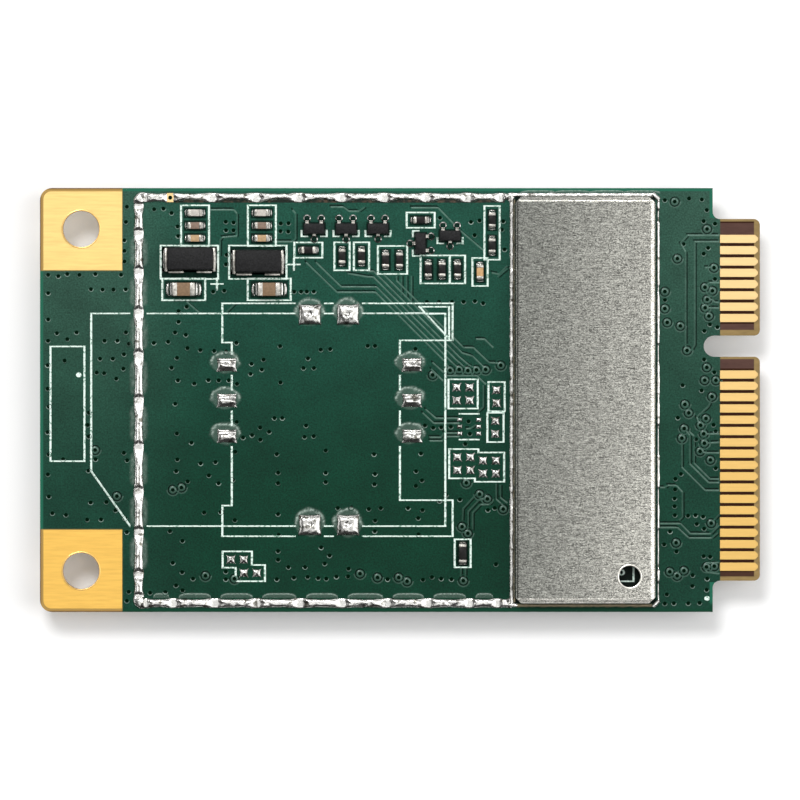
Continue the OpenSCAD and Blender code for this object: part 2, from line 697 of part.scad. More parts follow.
module shield_frame_back() color(sheet_grey) on_back() translate([back_can_x, 0, 0])
    wall_frame(back_can_l, can_w, back_can_h);
module shield_lid_back() color(sheet_grey) on_back() translate([back_can_x, 0, 0])
    folded_lid(back_can_l, can_w, back_can_h);

// A chip package: a thin carrier under a narrower case or cap
module chip_package(size, carrier_tint = mask_green, cap_tint = case_black) {
    color(carrier_tint) block(size[0], size[1], package_carrier);
    color(cap_tint) translate([0, 0, package_carrier])
        block(size[0] - 2 * package_step, size[1] - 2 * package_step, size[2] - package_carrier);
}
// The radio parts under the small can
module power_amplifier() on_front() translate(amplifier_chip[0]) chip_package(amplifier_chip[1]);
module front_end_module() on_front() translate(front_end_chip[0]) chip_package(front_end_chip[1]);
// The parts under the large can
module baseband_processor() on_back() translate(processor_chip[0]) chip_package(processor_chip[1]);
module memory_chip() on_back() translate(storage_chip[0]) chip_package(storage_chip[1]);
module power_manager_chip() on_back() translate(power_chip[0]) chip_package(power_chip[1]);
module radio_transceiver() on_back() translate(transceiver_chip[0]) chip_package(transceiver_chip[1]);
module reference_crystal() on_back() translate(crystal_can[0]) chip_package(crystal_can[1], ivory, tin);

// An antenna jack: insulator, sheet shell with legs and snap ring, and centre pin
function jack_place(i) = [left_x + jack_inset, (i - (jack_count - 1) / 2) * jack_pitch];
module antenna_jack_insulator(i) color(ivory) on_back() translate(jack_place(i)) difference() {
    block(jack_base, jack_base, jack_base_h);
    translate([0, 0, -cut]) cylinder(d = jack_pin_d + 2 * jack_pin_gap, h = jack_base_h + 2 * cut);
}
module antenna_jack_shell(i) color(gold) on_back() translate(jack_place(i)) {
    ring_r = jack_ring_d / 2;
    bore_r = ring_r - jack_wall;
    difference() {
        block(jack_base, jack_base + 2 * jack_leg, jack_base_h + jack_shell_t);
        translate([0, 0, -cut]) block(jack_base, jack_base, jack_base_h + cut);
        cylinder(r = bore_r, h = jack_base_h + jack_shell_t + cut);
    }
    translate([0, 0, jack_base_h + jack_shell_t]) rotate_extrude() polygon([
        [bore_r, 0], [ring_r, 0],
        [ring_r, jack_groove_z - jack_groove], [ring_r - jack_groove, jack_groove_z],
        [ring_r, jack_groove_z + jack_groove], [ring_r, jack_ring_h - jack_groove],
        [ring_r - jack_groove, jack_ring_h], [bore_r, jack_ring_h]]);
}
module antenna_jack_pin(i) color(gold) on_back() translate(jack_place(i))
    cylinder(d = jack_pin_d, h = jack_pin_h);

// A printed line through a list of points
module ink_path(points) for (i = [1:len(points) - 1]) {
    step = points[i] - points[i - 1];
    translate(points[i - 1]) rotate(atan2(step[1], step[0]))
        translate([-ink_w / 2, -ink_w / 2]) square([norm(step) + ink_w, ink_w]);
}
// A printed line round rectangles given as [middle, size]; where they overlap they share one outline
module ink_frame(boxes) difference() {
    for (box = boxes) translate(box[0]) square(box[1] + [ink_w, ink_w], center = true);
    for (box = boxes) translate(box[0]) square(box[1] - [ink_w, ink_w], center = true);
}
// The frame round a row of two-ended parts that all turn the same way
module part_frame(spots, l, w, end_gap, side_gap) {
    first = spots[0][0];
    last = spots[len(spots) - 1][0];
    reach = [for (i = [0:1]) abs(last[i] - first[i])];
    along = [l + 2 * end_gap, w + 2 * side_gap];
    ink_frame([[(first + last) / 2, reach + (spots[0][1] == 0 ? along : [along[1], along[0]])]]);
}
// The lines that frame the small parts and the spare pads
module part_frames() {
    for (column = [0:1])
        part_frame([for (row = [0:2]) cap_places[3 * column + row]], chip_l, chip_w, frame_end, frame_side);
    for (group = [[0], [1], [2], [3, 4], [5], [6, 7], [8], [9, 10]])
        part_frame([for (i = group) resistor_places[i]], chip_l, chip_w, frame_end, frame_side);
    part_frame([feed_place], chip_l, chip_w, frame_end, frame_side);
    part_frame([diode_place], diode_l, diode_w, frame_end - (diode_l - chip_l) / 2, frame_side);
    for (spot = bulk_places) part_frame([spot], bulk_l, bulk_w, bulk_frame_end, frame_side);
    for (spot = tantalum_places) part_frame([spot], tantalum_l, tantalum_w, tantalum_frame, tantalum_frame);
    for (group = spare_groups) ink_frame([for (field = group) [field[0],
        spare_pitch * [field[1] - 1, field[2] - 1] + (spare_pad + 2 * spare_frame) * [1, 1]]]);
    for (side = [-1, 1]) translate(pin_pad_middle + [0, side * (pin_pad_pitch + pin_pad_w / 2 + spare_frame)])
        ink_path([[-pin_pad_span / 2, 0], [pin_pad_span / 2, 0]]);
}
// Corner marks at the single-lead side of the transistors, and plus marks by the tantalum capacitors
mark_arm = 0.4;
plus_places = [from_corner(5.55, 6.09), from_corner(11, 4.71)];
module corner_marks() for (spot = transistor_places, side = [-1, 1]) at(spot) {
    x = side * (transistor_l / 2 + ink_w);
    y = -transistor_w / 2 - ink_w;
    ink_path([[x, y + mark_arm], [x, y], [x - side * mark_arm, y]]);
}
module plus_mark() {
    ink_path([[-mark_arm, 0], [mark_arm, 0]]);
    ink_path([[0, -mark_arm], [0, mark_arm]]);
}
// The card and socket outlines of the part that isn't fitted, and its corner triangle
module socket_outline() translate(sim_middle) {
    card_x1 = 8.91;
    card_x0 = card_x1 - outline_l;
    card_y = outline_w / 2;
    card_corner = [2.76, 3.88];
    ink_path([
        [card_x0 + card_corner[0], -card_y], [card_x1, -card_y], [card_x1, card_y], [card_x0, card_y],
        [card_x0, card_corner[1] - card_y], [card_x0 + card_corner[0], -card_y]]);
    socket_x0 = -6.87;
    socket_x1 = 9.43;
    socket_y = 8.24;
    waist_x0 = socket_x0 + 0.67;
    waist_x1 = socket_x1 - 3.73;
    left_waist = [-6.07, 5.47];
    right_waist = [-5.69, 5.62];
    ink_path([
        [socket_x0, socket_y], [socket_x1, socket_y],
        [socket_x1, right_waist[1]], [waist_x1, right_waist[1]],
        [waist_x1, right_waist[0]], [socket_x1, right_waist[0]],
        [socket_x1, -socket_y], [socket_x0, -socket_y],
        [socket_x0, left_waist[0]], [waist_x0, left_waist[0]],
        [waist_x0, left_waist[1]], [socket_x0, left_waist[1]], [socket_x0, socket_y]]);
    triangle_x = [7.07, 9.18];
    triangle_y = [5.75, 8];
    ink_path([
        [triangle_x[0], triangle_y[1]], [triangle_x[1], triangle_y[1]], [triangle_x[1], triangle_y[0]],
        [triangle_x[0], triangle_y[1]]]);
}
// The empty code box at the board's end, the dot in it, and the dot at the far corner
module end_marks() {
    box_size = [2.4, 8.12];
    box_inset = 0.74;
    box_y = -0.27;
    box_dot = [0.8, 2.05];
    corner_dot = [0.4, 0.96];
    dot_r = 0.19;
    translate([left_x + box_inset + box_size[0] / 2, box_y]) {
        ink_frame([[[0, 0], box_size]]);
        translate(box_dot) circle(dot_r);
    }
    translate([body_x - corner_dot[0], corner_dot[1] - side_y]) circle(dot_r);
}
// The corner mark that shows through the view hole
module view_hole_mark() translate(view_hole) {
    corner = [0.3, -0.35];
    arms = [1.2, 0.95];
    ring_place = [-0.55, 0.28];
    ring_r = 0.17;
    ink_path([corner - [arms[0], 0], corner, corner + [0, arms[1]]]);
    translate(ring_place) difference() {
        circle(ring_r + ink_w / 2);
        circle(ring_r - ink_w / 2);
    }
}
module printed_legend() color(ink_white) on_front() linear_extrude(ink_t) {
    difference() {
        socket_outline();
        for (pad = sim_pads) translate(pad[0]) square(pad[1] + 2 * ink_clear * [1, 1], center = true);
        translate([track_x, 0]) square([track_w + 2 * ink_clear, card_w], center = true);
    }
    part_frames();
    corner_marks();
    for (place = plus_places) translate(place) plus_mark();
    end_marks();
    view_hole_mark();
}

circuit_board();
contact_fingers_front();
contact_fingers_back();
mount_pads_front();
mount_pads_back();
printed_legend();
shield_rail_solder();
sim_pad_solder();
spare_pad_solder();
chip_pad_solder();
shield_frame_front();
shield_lid_front();
power_amplifier();
front_end_module();
shield_solder_back();
shield_frame_back();
shield_lid_back();
baseband_processor();
memory_chip();
power_manager_chip();
radio_transceiver();
reference_crystal();
tantalum_capacitor(0);  // tantalum_capacitor_left
tantalum_capacitor(1);  // tantalum_capacitor_right
bulk_capacitor(0);  // bulk_capacitor_left
bulk_capacitor(1);  // bulk_capacitor_right
feed_capacitor();
protection_diode();
for (i = [0:cap_count - 1])
    decoupling_capacitor(i);
for (i = [0:resistor_count - 1])
    resistor(i);
for (i = [0:transistor_count - 1])
    transistor(i);
for (i = [0:jack_count - 1]) {
    antenna_jack_shell(i);
    antenna_jack_insulator(i);
    antenna_jack_pin(i);
}
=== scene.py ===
import math

import bmesh
import bpy
from mathutils import Matrix, Vector
from mathutils.noise import noise


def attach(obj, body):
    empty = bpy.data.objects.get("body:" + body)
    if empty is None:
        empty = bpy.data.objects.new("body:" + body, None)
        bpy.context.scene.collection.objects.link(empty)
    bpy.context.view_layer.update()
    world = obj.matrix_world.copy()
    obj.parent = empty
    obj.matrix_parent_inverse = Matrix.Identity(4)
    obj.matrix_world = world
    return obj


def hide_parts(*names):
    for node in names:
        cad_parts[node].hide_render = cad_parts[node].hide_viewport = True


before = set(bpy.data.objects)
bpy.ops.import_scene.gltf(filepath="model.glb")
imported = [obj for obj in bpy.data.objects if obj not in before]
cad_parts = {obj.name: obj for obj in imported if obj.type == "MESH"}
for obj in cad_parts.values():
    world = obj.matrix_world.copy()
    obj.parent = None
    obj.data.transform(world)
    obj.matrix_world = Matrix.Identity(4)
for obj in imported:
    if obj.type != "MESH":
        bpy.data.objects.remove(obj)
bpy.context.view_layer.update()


# Circuit board
# One millimetre of glass laminate, routed to shape, with green solder mask over copper on both faces.
# The edge tongue is left bare of mask, and so is the rim round the mounting pads.

def node_box(name):
    """The lowest and highest corner of a CAD node in millimetres, to the nearest micrometre."""
    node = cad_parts[name]
    corners = [node.matrix_world @ Vector(corner) for corner in node.bound_box]
    return [tuple(round(1000 * end(values), 3) for values in zip(*corners)) for end in (min, max)]


(BOARD_LEFT, _, BOARD_LOW), (_, BOARD_SIDE, BOARD_TOP) = node_box("circuit_board")
BODY_RIGHT = 22.13
TONGUE_SIDE = 12.85
MASK_END = 22.66
FINGER_END = 25.06
EDGE_STRIP_W = 0.21
CAN_LEFT = 8.15
CAN_RIGHT = 18.08
CAN_SIDE = 14.39
PAD_RIGHT = -19.65
PAD_SIDE = 9.15
PAD_RIM_W = 0.08
UPPER_END_Y = 12.1
LOWER_END_Y = -12.16
SLOT_Y = 3.81
SLOT_BARE_HALF = 1.575
TAN_UPPER_Y = 12.64
TAN_LOWER_Y = -12.49
SLOT_RIM_Y = 3.93
SLOT_RIM_HALF = 1.03
FAR = 9


class Wire:
    """A socket in a node tree. Operators add Math nodes."""

    def __init__(self, tree, socket=None):
        self.tree = tree
        self.socket = socket

    def node(self, kind, settings, sockets, out=0):
        """Add a node of this kind, set it up, feed its sockets and return one of its outputs."""
        made = self.tree.nodes.new("ShaderNode" + kind)
        for name, value in settings.items():
            setattr(made, name, value)
        for key, value in sockets.items():
            if isinstance(value, Wire):
                self.tree.links.new(value.socket, made.inputs[key])
            else:
                made.inputs[key].default_value = value
        return Wire(self.tree, made.outputs[out])

    def math(self, operation, first, second):
        return self.node("Math", {"operation": operation}, {0: first, 1: second})

    def __add__(self, other):
        return self.math("ADD", self, other)

    def __sub__(self, other):
        return self.math("SUBTRACT", self, other)

    def __rsub__(self, other):
        return self.math("SUBTRACT", other, self)

    def __mul__(self, other):
        return self.math("MULTIPLY", self, other)

    def __abs__(self):
        return self.math("ABSOLUTE", self, 0.0)

    __radd__ = __add__
    __rmul__ = __mul__


def srgb(red, green, blue):
    """A colour as the eye sees it, from 0 to 255, as the linear colour that a socket takes."""
    return tuple(((c / 255 + 0.055) / 1.055) ** 2.4 for c in (red, green, blue)) + (1.0,)


def start_finish(name):
    """A new material and its place on the card in millimetres."""
    material = bpy.data.materials.new(name)
    material.use_nodes = True
    metres = Wire(material.node_tree).node("TexCoord", {}, {}, "Object")
    return material, metres.node("VectorMath", {"operation": "SCALE"}, {0: metres, "Scale": 1000.0})


def set_finish(material, **sockets):
    """Set the shader's sockets; an underscore in a name stands for a space."""
    shader = material.node_tree.nodes["Principled BSDF"]
    for name, value in sockets.items():
        target = shader.inputs[name.replace("_", " ")]
        if isinstance(value, Wire):
            material.node_tree.links.new(value.socket, target)
        else:
            target.default_value = value


def axes(place):
    return [place.node("SeparateXYZ", {}, {0: place}, axis) for axis in ("X", "Y", "Z")]


def facing_up(place):
    """1 on a level upper face, 0 on an upright one and -1 underneath."""
    return axes(place.node("TexCoord", {}, {}, "Normal"))[2]


def larger(first, second):
    return first.math("MAXIMUM", first, second)


def smaller(first, second):
    return first.math("MINIMUM", first, second)


def smooth(value, low, high):
    """From 0 at low to 1 at high, eased at both ends."""
    return value.node("MapRange", {"interpolation_type": "SMOOTHSTEP"}, {0: value, 1: low, 2: high})


def beyond(value, edge, blur):
    """0 before an edge and 1 beyond it; a blur below 0 turns it round."""
    return smooth(value, edge - blur, edge + blur)


def mix(first, second, share):
    return share.node("Mix", {"data_type": "RGBA"}, {0: share, 6: first, 7: second}, 2)


def tint(colour, factor):
    """A colour made so many times as bright."""
    plain = colour if isinstance(colour, Wire) else colour[:3]
    return factor.node("VectorMath", {"operation": "SCALE"}, {0: plain, "Scale": factor})


def grain(place, scale, detail=2.0, stretch=(1, 1, 1)):
    """Noise from 0 to 1, with so many grains to a millimetre."""
    drawn = place.node("VectorMath", {"operation": "MULTIPLY"}, {0: place, 1: stretch})
    return place.node("TexNoise", {}, {"Vector": drawn, "Scale": scale, "Detail": detail}, "Fac")


def relief(height, depth):
    """A bump of this depth in millimetres."""
    return height.node("Bump", {}, {"Strength": 1.0, "Distance": depth / 1000, "Height": height})


def dress(material, *nodes):
    """Give CAD nodes a finish."""
    for node in nodes:
        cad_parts[node].material_slots[0].material = material


def speckle(place, scale, amount, stretch=(1, 1, 1)):
    """A brightness near 1 that varies from grain to grain."""
    return 1 - amount / 2 + amount * grain(place, scale, 3.0, stretch)


def mask_colour(place):
    """Solder mask: deeper in the middle, and paler towards the upper side as a painted sheen; cloudy, with
    fine grain.
    """
    x, y, _ = axes(place)
    to_ends = smooth(abs(x), 13, 21)
    deep = mix(srgb(1, 51, 35), srgb(15, 57, 43), to_ends)
    pale = mix(srgb(24, 72, 58), srgb(46, 79, 66), to_ends)
    # The paler colour towards the upper side is a painted sheen.
    base = mix(deep, pale, smooth(y, -9, 15))
    return tint(tint(base, speckle(place, 0.35, 0.7)), speckle(place, 9.0, 1.7))


mask, place = start_finish("green_solder_mask")
x, y, _ = axes(place)
to_edge = smaller(x - BOARD_LEFT, BOARD_SIDE - abs(y))
to_edge = smaller(to_edge, abs(x - BODY_RIGHT) + FAR * beyond(abs(y), TONGUE_SIDE, -0.05))
edge_strip = beyond(to_edge, EDGE_STRIP_W, -0.07)
# The edge strip is painted darker along the lower edge: painted shade.
edge_green_shaded_below = mix(srgb(2, 58, 38), srgb(30, 98, 76), smooth(y, -14.6, -14.2))
# The mask under the front can is painted dark: painted shade.
painted_shade_under_can = beyond(x, CAN_LEFT, 0.05) * beyond(x, CAN_RIGHT, -0.04) * beyond(abs(y), CAN_SIDE, -0.05)
green = tint(mix(mask_colour(place), edge_green_shaded_below, edge_strip), 1 - 0.85 * painted_shade_under_can)

# The bare tongue: brown between the contacts, paler at the ends of a group, tan beyond the contacts.
at_upper_end = beyond(abs(y - UPPER_END_Y), 0.425, -0.025)
at_slot = beyond(abs(y - SLOT_Y), SLOT_BARE_HALF, -0.025)
bare = mix(srgb(48, 22, 4), srgb(82, 58, 51), larger(at_upper_end, at_slot))
bare = mix(bare, srgb(66, 42, 31), beyond(y, LOWER_END_Y, -0.02))
at_tan = larger(beyond(x, FINGER_END, 0.03), beyond(abs(y - SLOT_RIM_Y), SLOT_RIM_HALF, -0.03))
at_tan = larger(at_tan, larger(beyond(y, TAN_UPPER_Y, 0.04), beyond(y, TAN_LOWER_Y, -0.04)))
bare = tint(mix(bare, srgb(140, 118, 76), at_tan), speckle(place, 4.0, 0.6, (0.3, 1, 1)))
on_tongue = beyond(x, MASK_END, 0.03)

# The rim round the mounting pads, and the sawn laminate on the board's sides.
on_pad_rim = beyond(x, PAD_RIGHT, -0.05) * beyond(abs(y), PAD_SIDE, 0.05)
pad_rim = mix(srgb(170, 138, 78), srgb(104, 76, 36), beyond(to_edge, PAD_RIM_W, -0.06))
skin = mix(mix(green, bare, on_tongue), pad_rim, on_pad_rim)
laminate = tint(srgb(104, 100, 54), speckle(place, 1.0, 0.9, (1, 1, 14)))
skin = mix(laminate, skin, smooth(abs(facing_up(place)), 0.3, 0.6))
set_finish(mask, Base_Color=skin, Roughness=0.36 + 0.16 * grain(place, 2.0), Specular_IOR_Level=0.08,
           Normal=relief(grain(place, 5.0, 3.0), 0.006))
dress(mask, "circuit_board")


# Copper traces
# Etched copper a few hundredths of a millimetre high, under the mask. Only its raised edges show.
# They run from the small parts and socket pads to the vias, and from the vias to the edge contacts.

def add_object(name, data):
    """A new object in the scene."""
    made = bpy.data.objects.new(name, data)
    bpy.context.scene.collection.objects.link(made)
    return made


def end_piece(shape, name, materials, nodes=(), sharp=40):
    """Make a shape in millimetres a piece of the card, and hide the CAD nodes that it stands for."""
    bmesh.ops.recalc_face_normals(shape, faces=shape.faces)
    bmesh.ops.scale(shape, vec=(0.001, 0.001, 0.001), verts=shape.verts)
    mesh = bpy.data.meshes.new(name)
    shape.to_mesh(mesh)
    shape.free()
    for material in materials:
        mesh.materials.append(material)
    mesh.shade_smooth()
    mesh.set_sharp_from_angle(angle=math.radians(sharp))
    piece = add_object(name, mesh)
    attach(piece, "root")
    if nodes:
        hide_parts(*nodes)


def add_ridges(shape, paths, width, height):
    """Low round ridges along paths on the board."""
    curve = bpy.data.curves.new("ridges", "CURVE")
    curve.dimensions = "3D"
    curve.bevel_depth = width / 2
    curve.bevel_resolution = 1
    curve.use_fill_caps = True
    for path in paths:
        line = curve.splines.new("POLY")
        line.points.add(len(path) - 1)
        for point, (px, py) in zip(line.points, path):
            point.co = (px, py, 0, 1)
    holder = bpy.data.objects.new("ridges", curve)
    mesh = bpy.data.meshes.new_from_object(holder)
    mesh.transform(Matrix.Translation((0, 0, BOARD_TOP)) @ Matrix.Diagonal((1, 1, 2 * height / width, 1)))
    shape.from_mesh(mesh)
    bpy.data.objects.remove(holder)
    bpy.data.curves.remove(curve)
    bpy.data.meshes.remove(mesh)


trace_paths = [
    [(-6.65, 9.75), (-4.45, 7.62), (-1.72, 7.62), (3.15, 2.75), (3.53, 2.2)],
    [(-5.95, 9.75), (-4.15, 8.0), (-1.66, 8.0), (3.6, 2.74), (4.19, 2.2)],
    [(-3.7, 8.95), (-2.2, 8.7), (-1.88, 8.7), (3.95, 2.87), (4.79, 2.15)],
    [(-2.26, 9.1), (-1.85, 9.1), (4.2, 3.05), (4.85, 2.5), (5.41, 2.2)],
    [(-1.17, 8.9), (4.4, 3.33), (5.15, 3.1), (5.85, 2.4), (6.05, 2.2)],
    [(-0.25, 8.8), (-0.25, 8.45), (4.1, 4.1), (4.5, 3.7), (5.2, 3.7), (6.3, 2.65), (7.05, 2.6)],
    [(0.1, 8.8), (0.1, 7.4)],
    [(0.45, 8.8), (0.45, 7.2)],
    [(0.8, 8.8), (0.8, 7.0)],
    [(0.8, 13.6), (2.7, 13.6), (4.3, 11.95), (5.9, 10.6)],
    [(-4.9, 13.65), (-4.0, 13.65), (-3.6, 13.35), (-2.9, 13.35), (-2.5, 13.65)],
    [(5.4, 4.3), (6.0, 4.3), (6.6, 3.7)],
    [(2.3, 2.66), (3.1, 1.95)],
    [(2.2, 2.2), (3.05, 1.35)],
    [(3.35, 1.71), (5.45, 1.71), (6.08, 1.1)],
    [(5.89, 1.05), (5.89, -0.5), (5.5, -0.85)],
    [(4.7, -2.05), (5.0, -2.02), (5.4, -1.75)],
    [(1.8, -0.65), (2.55, -1.3), (4.2, -1.3)],
    [(1.6, -0.9), (2.4, -1.65), (4.2, -1.65)],
    [(2.1, -2.9), (3.0, -2.9), (3.25, -2.6), (4.2, -2.6)],
    [(2.1, -2.65), (2.9, -2.65), (3.1, -2.35), (4.2, -2.35)],
    [(22.6, 11.65), (20.35, 11.65), (19.85, 11.1), (20.2, 10.5), (20.2, 3.7), (20.31, 3.51)],
    [(22.6, 11.2), (20.85, 11.2), (20.85, 3.9), (20.6, 3.5)],
    [(19.94, -2.7), (19.94, -4.75), (21.6, -6.4), (22.6, -6.4)],
    [(20.11, -2.02), (20.5, -2.5), (20.5, -4.5), (21.85, -5.85), (22.6, -5.85)],
    [(20.45, -2.2), (20.8, -2.55), (20.8, -4.45), (21.95, -5.6), (22.6, -5.6)],
    [(18.4, -8.75), (19.85, -8.75), (20.55, -9.47), (22.0, -9.47), (22.6, -8.85)],
    [(18.4, -9.03), (19.65, -9.03), (20.45, -9.77), (22.05, -9.77), (22.5, -9.4)],
    [(18.4, -6.2), (18.75, -6.2), (18.95, -6.05), (19.55, -6.05), (19.98, -6.5), (19.98, -8.3),
     (19.75, -8.5)],
    [(22.6, -11.5), (21.6, -11.55)],
    [(22.6, -12.3), (21.75, -12.2), (21.45, -11.8)],
    [(22.6, -8.1), (22.02, -8.72)],
    [(5.55, -6.5), (4.45, -7.7), (4.41, -8.6)],
    [(6.0, -7.0), (5.65, -7.0), (4.82, -7.9), (4.8, -9.1)],
    [(6.5, -7.2), (6.3, -7.4), (5.7, -7.4), (5.13, -8.0), (5.13, -9.2)],
    [(6.8, -5.9), (6.8, -7.0), (7.45, -7.6)],
    [(7.1, -6.0), (7.1, -6.9), (7.6, -7.3)],
    [(4.3, -11.9), (4.3, -12.5)],
    [(4.62, -11.9), (4.62, -12.5)],
    [(-13.5, 13.45), (-11.75, 13.45), (-11.55, 13.2), (-11.55, 11.6), (-12.6, 11.5), (-12.75, 11.3),
     (-12.75, 10.2)],
    [(-9.0, 11.2), (-7.6, 11.2), (-7.4, 11.4), (-7.4, 13.2), (-7.6, 13.45)],
    [(-15.1, 6.95), (-14.1, 6.1)],
    [(-11.6, 6.9), (-12.4, 6.1)],
    [(21.6, 9.36), (22.2, 9.4)],
    [(21.58, 7.98), (21.9, 8.3), (22.6, 8.3)],
    [(21.74, 7.11), (22.1, 7.11), (22.3, 6.9), (22.6, 6.9)],
    [(21.59, 6.53), (22.6, 6.5)],
    [(21.6, -2.4), (22.6, -2.4)],
    [(21.5, -3.06), (22.6, -3.0)],
    [(21.24, -3.63), (21.7, -3.75), (22.6, -3.75)],
    [(21.2, -1.8), (21.0, -1.2), (21.8, -0.5), (22.1, 0.2)],
    [(6.9, 8.7), (7.6, 9.3)],
    [(6.5, 9.0), (7.0, 8.9), (7.6, 9.5)],
]


TRACE_W = 0.13
LIT_H = 0.022
DIM_H = 0.018
TRACE_SHADOW_H = 0.006
LIT_SHADOW_SHIFT = (-0.1, 0.13)
LIT_SHADOW_W = 0.12
DIM_SHADOW_SHIFT = (0.12, -0.03)
DIM_SHADOW_W = 0.1
LIT_FROM = -75
LIT_TO = 12


def catches_light(run):
    """True for the level runs and for those that fall to the right."""
    (x0, y0), (x1, y1) = run
    slope = math.degrees(math.atan((y1 - y0) / (x1 - x0))) if x1 != x0 else 90
    return LIT_FROM < slope < LIT_TO


def shifted(runs, dx, dy):
    return [[(px + dx, py + dy) for px, py in run] for run in runs]


def lit_mask(name, low, span, scale, roughness, specular):
    """Mask over raised copper, paler by a share that varies from low to low + span: partly the copper under
    it, partly painted light.
    """
    material, place = start_finish(name)
    colour = mix(mask_colour(place), srgb(149, 188, 171), low + span * grain(place, scale))
    set_finish(material, Base_Color=colour, Roughness=roughness, Specular_IOR_Level=specular)
    return material


def dark_mask(name, low, span, roughness):
    """The mask's colour in shade, from low to low + span times as bright."""
    material, place = start_finish(name)
    colour = tint(mask_colour(place), low + span * grain(place, 3.0))
    set_finish(material, Base_Color=colour, Roughness=roughness, Specular_IOR_Level=0.05)
    return material


# Runs that face the light from above get the mask's painted-lit copy; the others get its painted-shade copy.
runs = [run for path in trace_paths for run in zip(path, path[1:])]
lit_runs = [run for run in runs if catches_light(run)]
dim_runs = [run for run in runs if not catches_light(run)]

traces = bmesh.new()
add_ridges(traces, lit_runs, TRACE_W, LIT_H)
raised = lit_mask("mask_over_copper_painted_lit", low=0.03, span=0.3, scale=1.5, roughness=0.22, specular=0.3)
end_piece(traces, "copper_traces", [raised])

dim_traces = bmesh.new()
add_ridges(dim_traces, dim_runs, TRACE_W, DIM_H)
shaded = lit_mask("mask_over_shaded_copper", low=0.0, span=0.14, scale=1.5, roughness=0.3, specular=0.08)
end_piece(dim_traces, "copper_traces_in_shade", [shaded])

# Thin dark strips beside the runs are painted shadows: above the lit runs and to the right of the others.
trace_shadows = bmesh.new()
add_ridges(trace_shadows, shifted(lit_runs, *LIT_SHADOW_SHIFT), LIT_SHADOW_W, TRACE_SHADOW_H)
add_ridges(trace_shadows, shifted(dim_runs, *DIM_SHADOW_SHIFT), DIM_SHADOW_W, TRACE_SHADOW_H)
shade_mask = dark_mask("mask_in_painted_shade", low=0.12, span=0.36, roughness=0.5)
end_piece(trace_shadows, "painted_trace_shadows", [shade_mask])
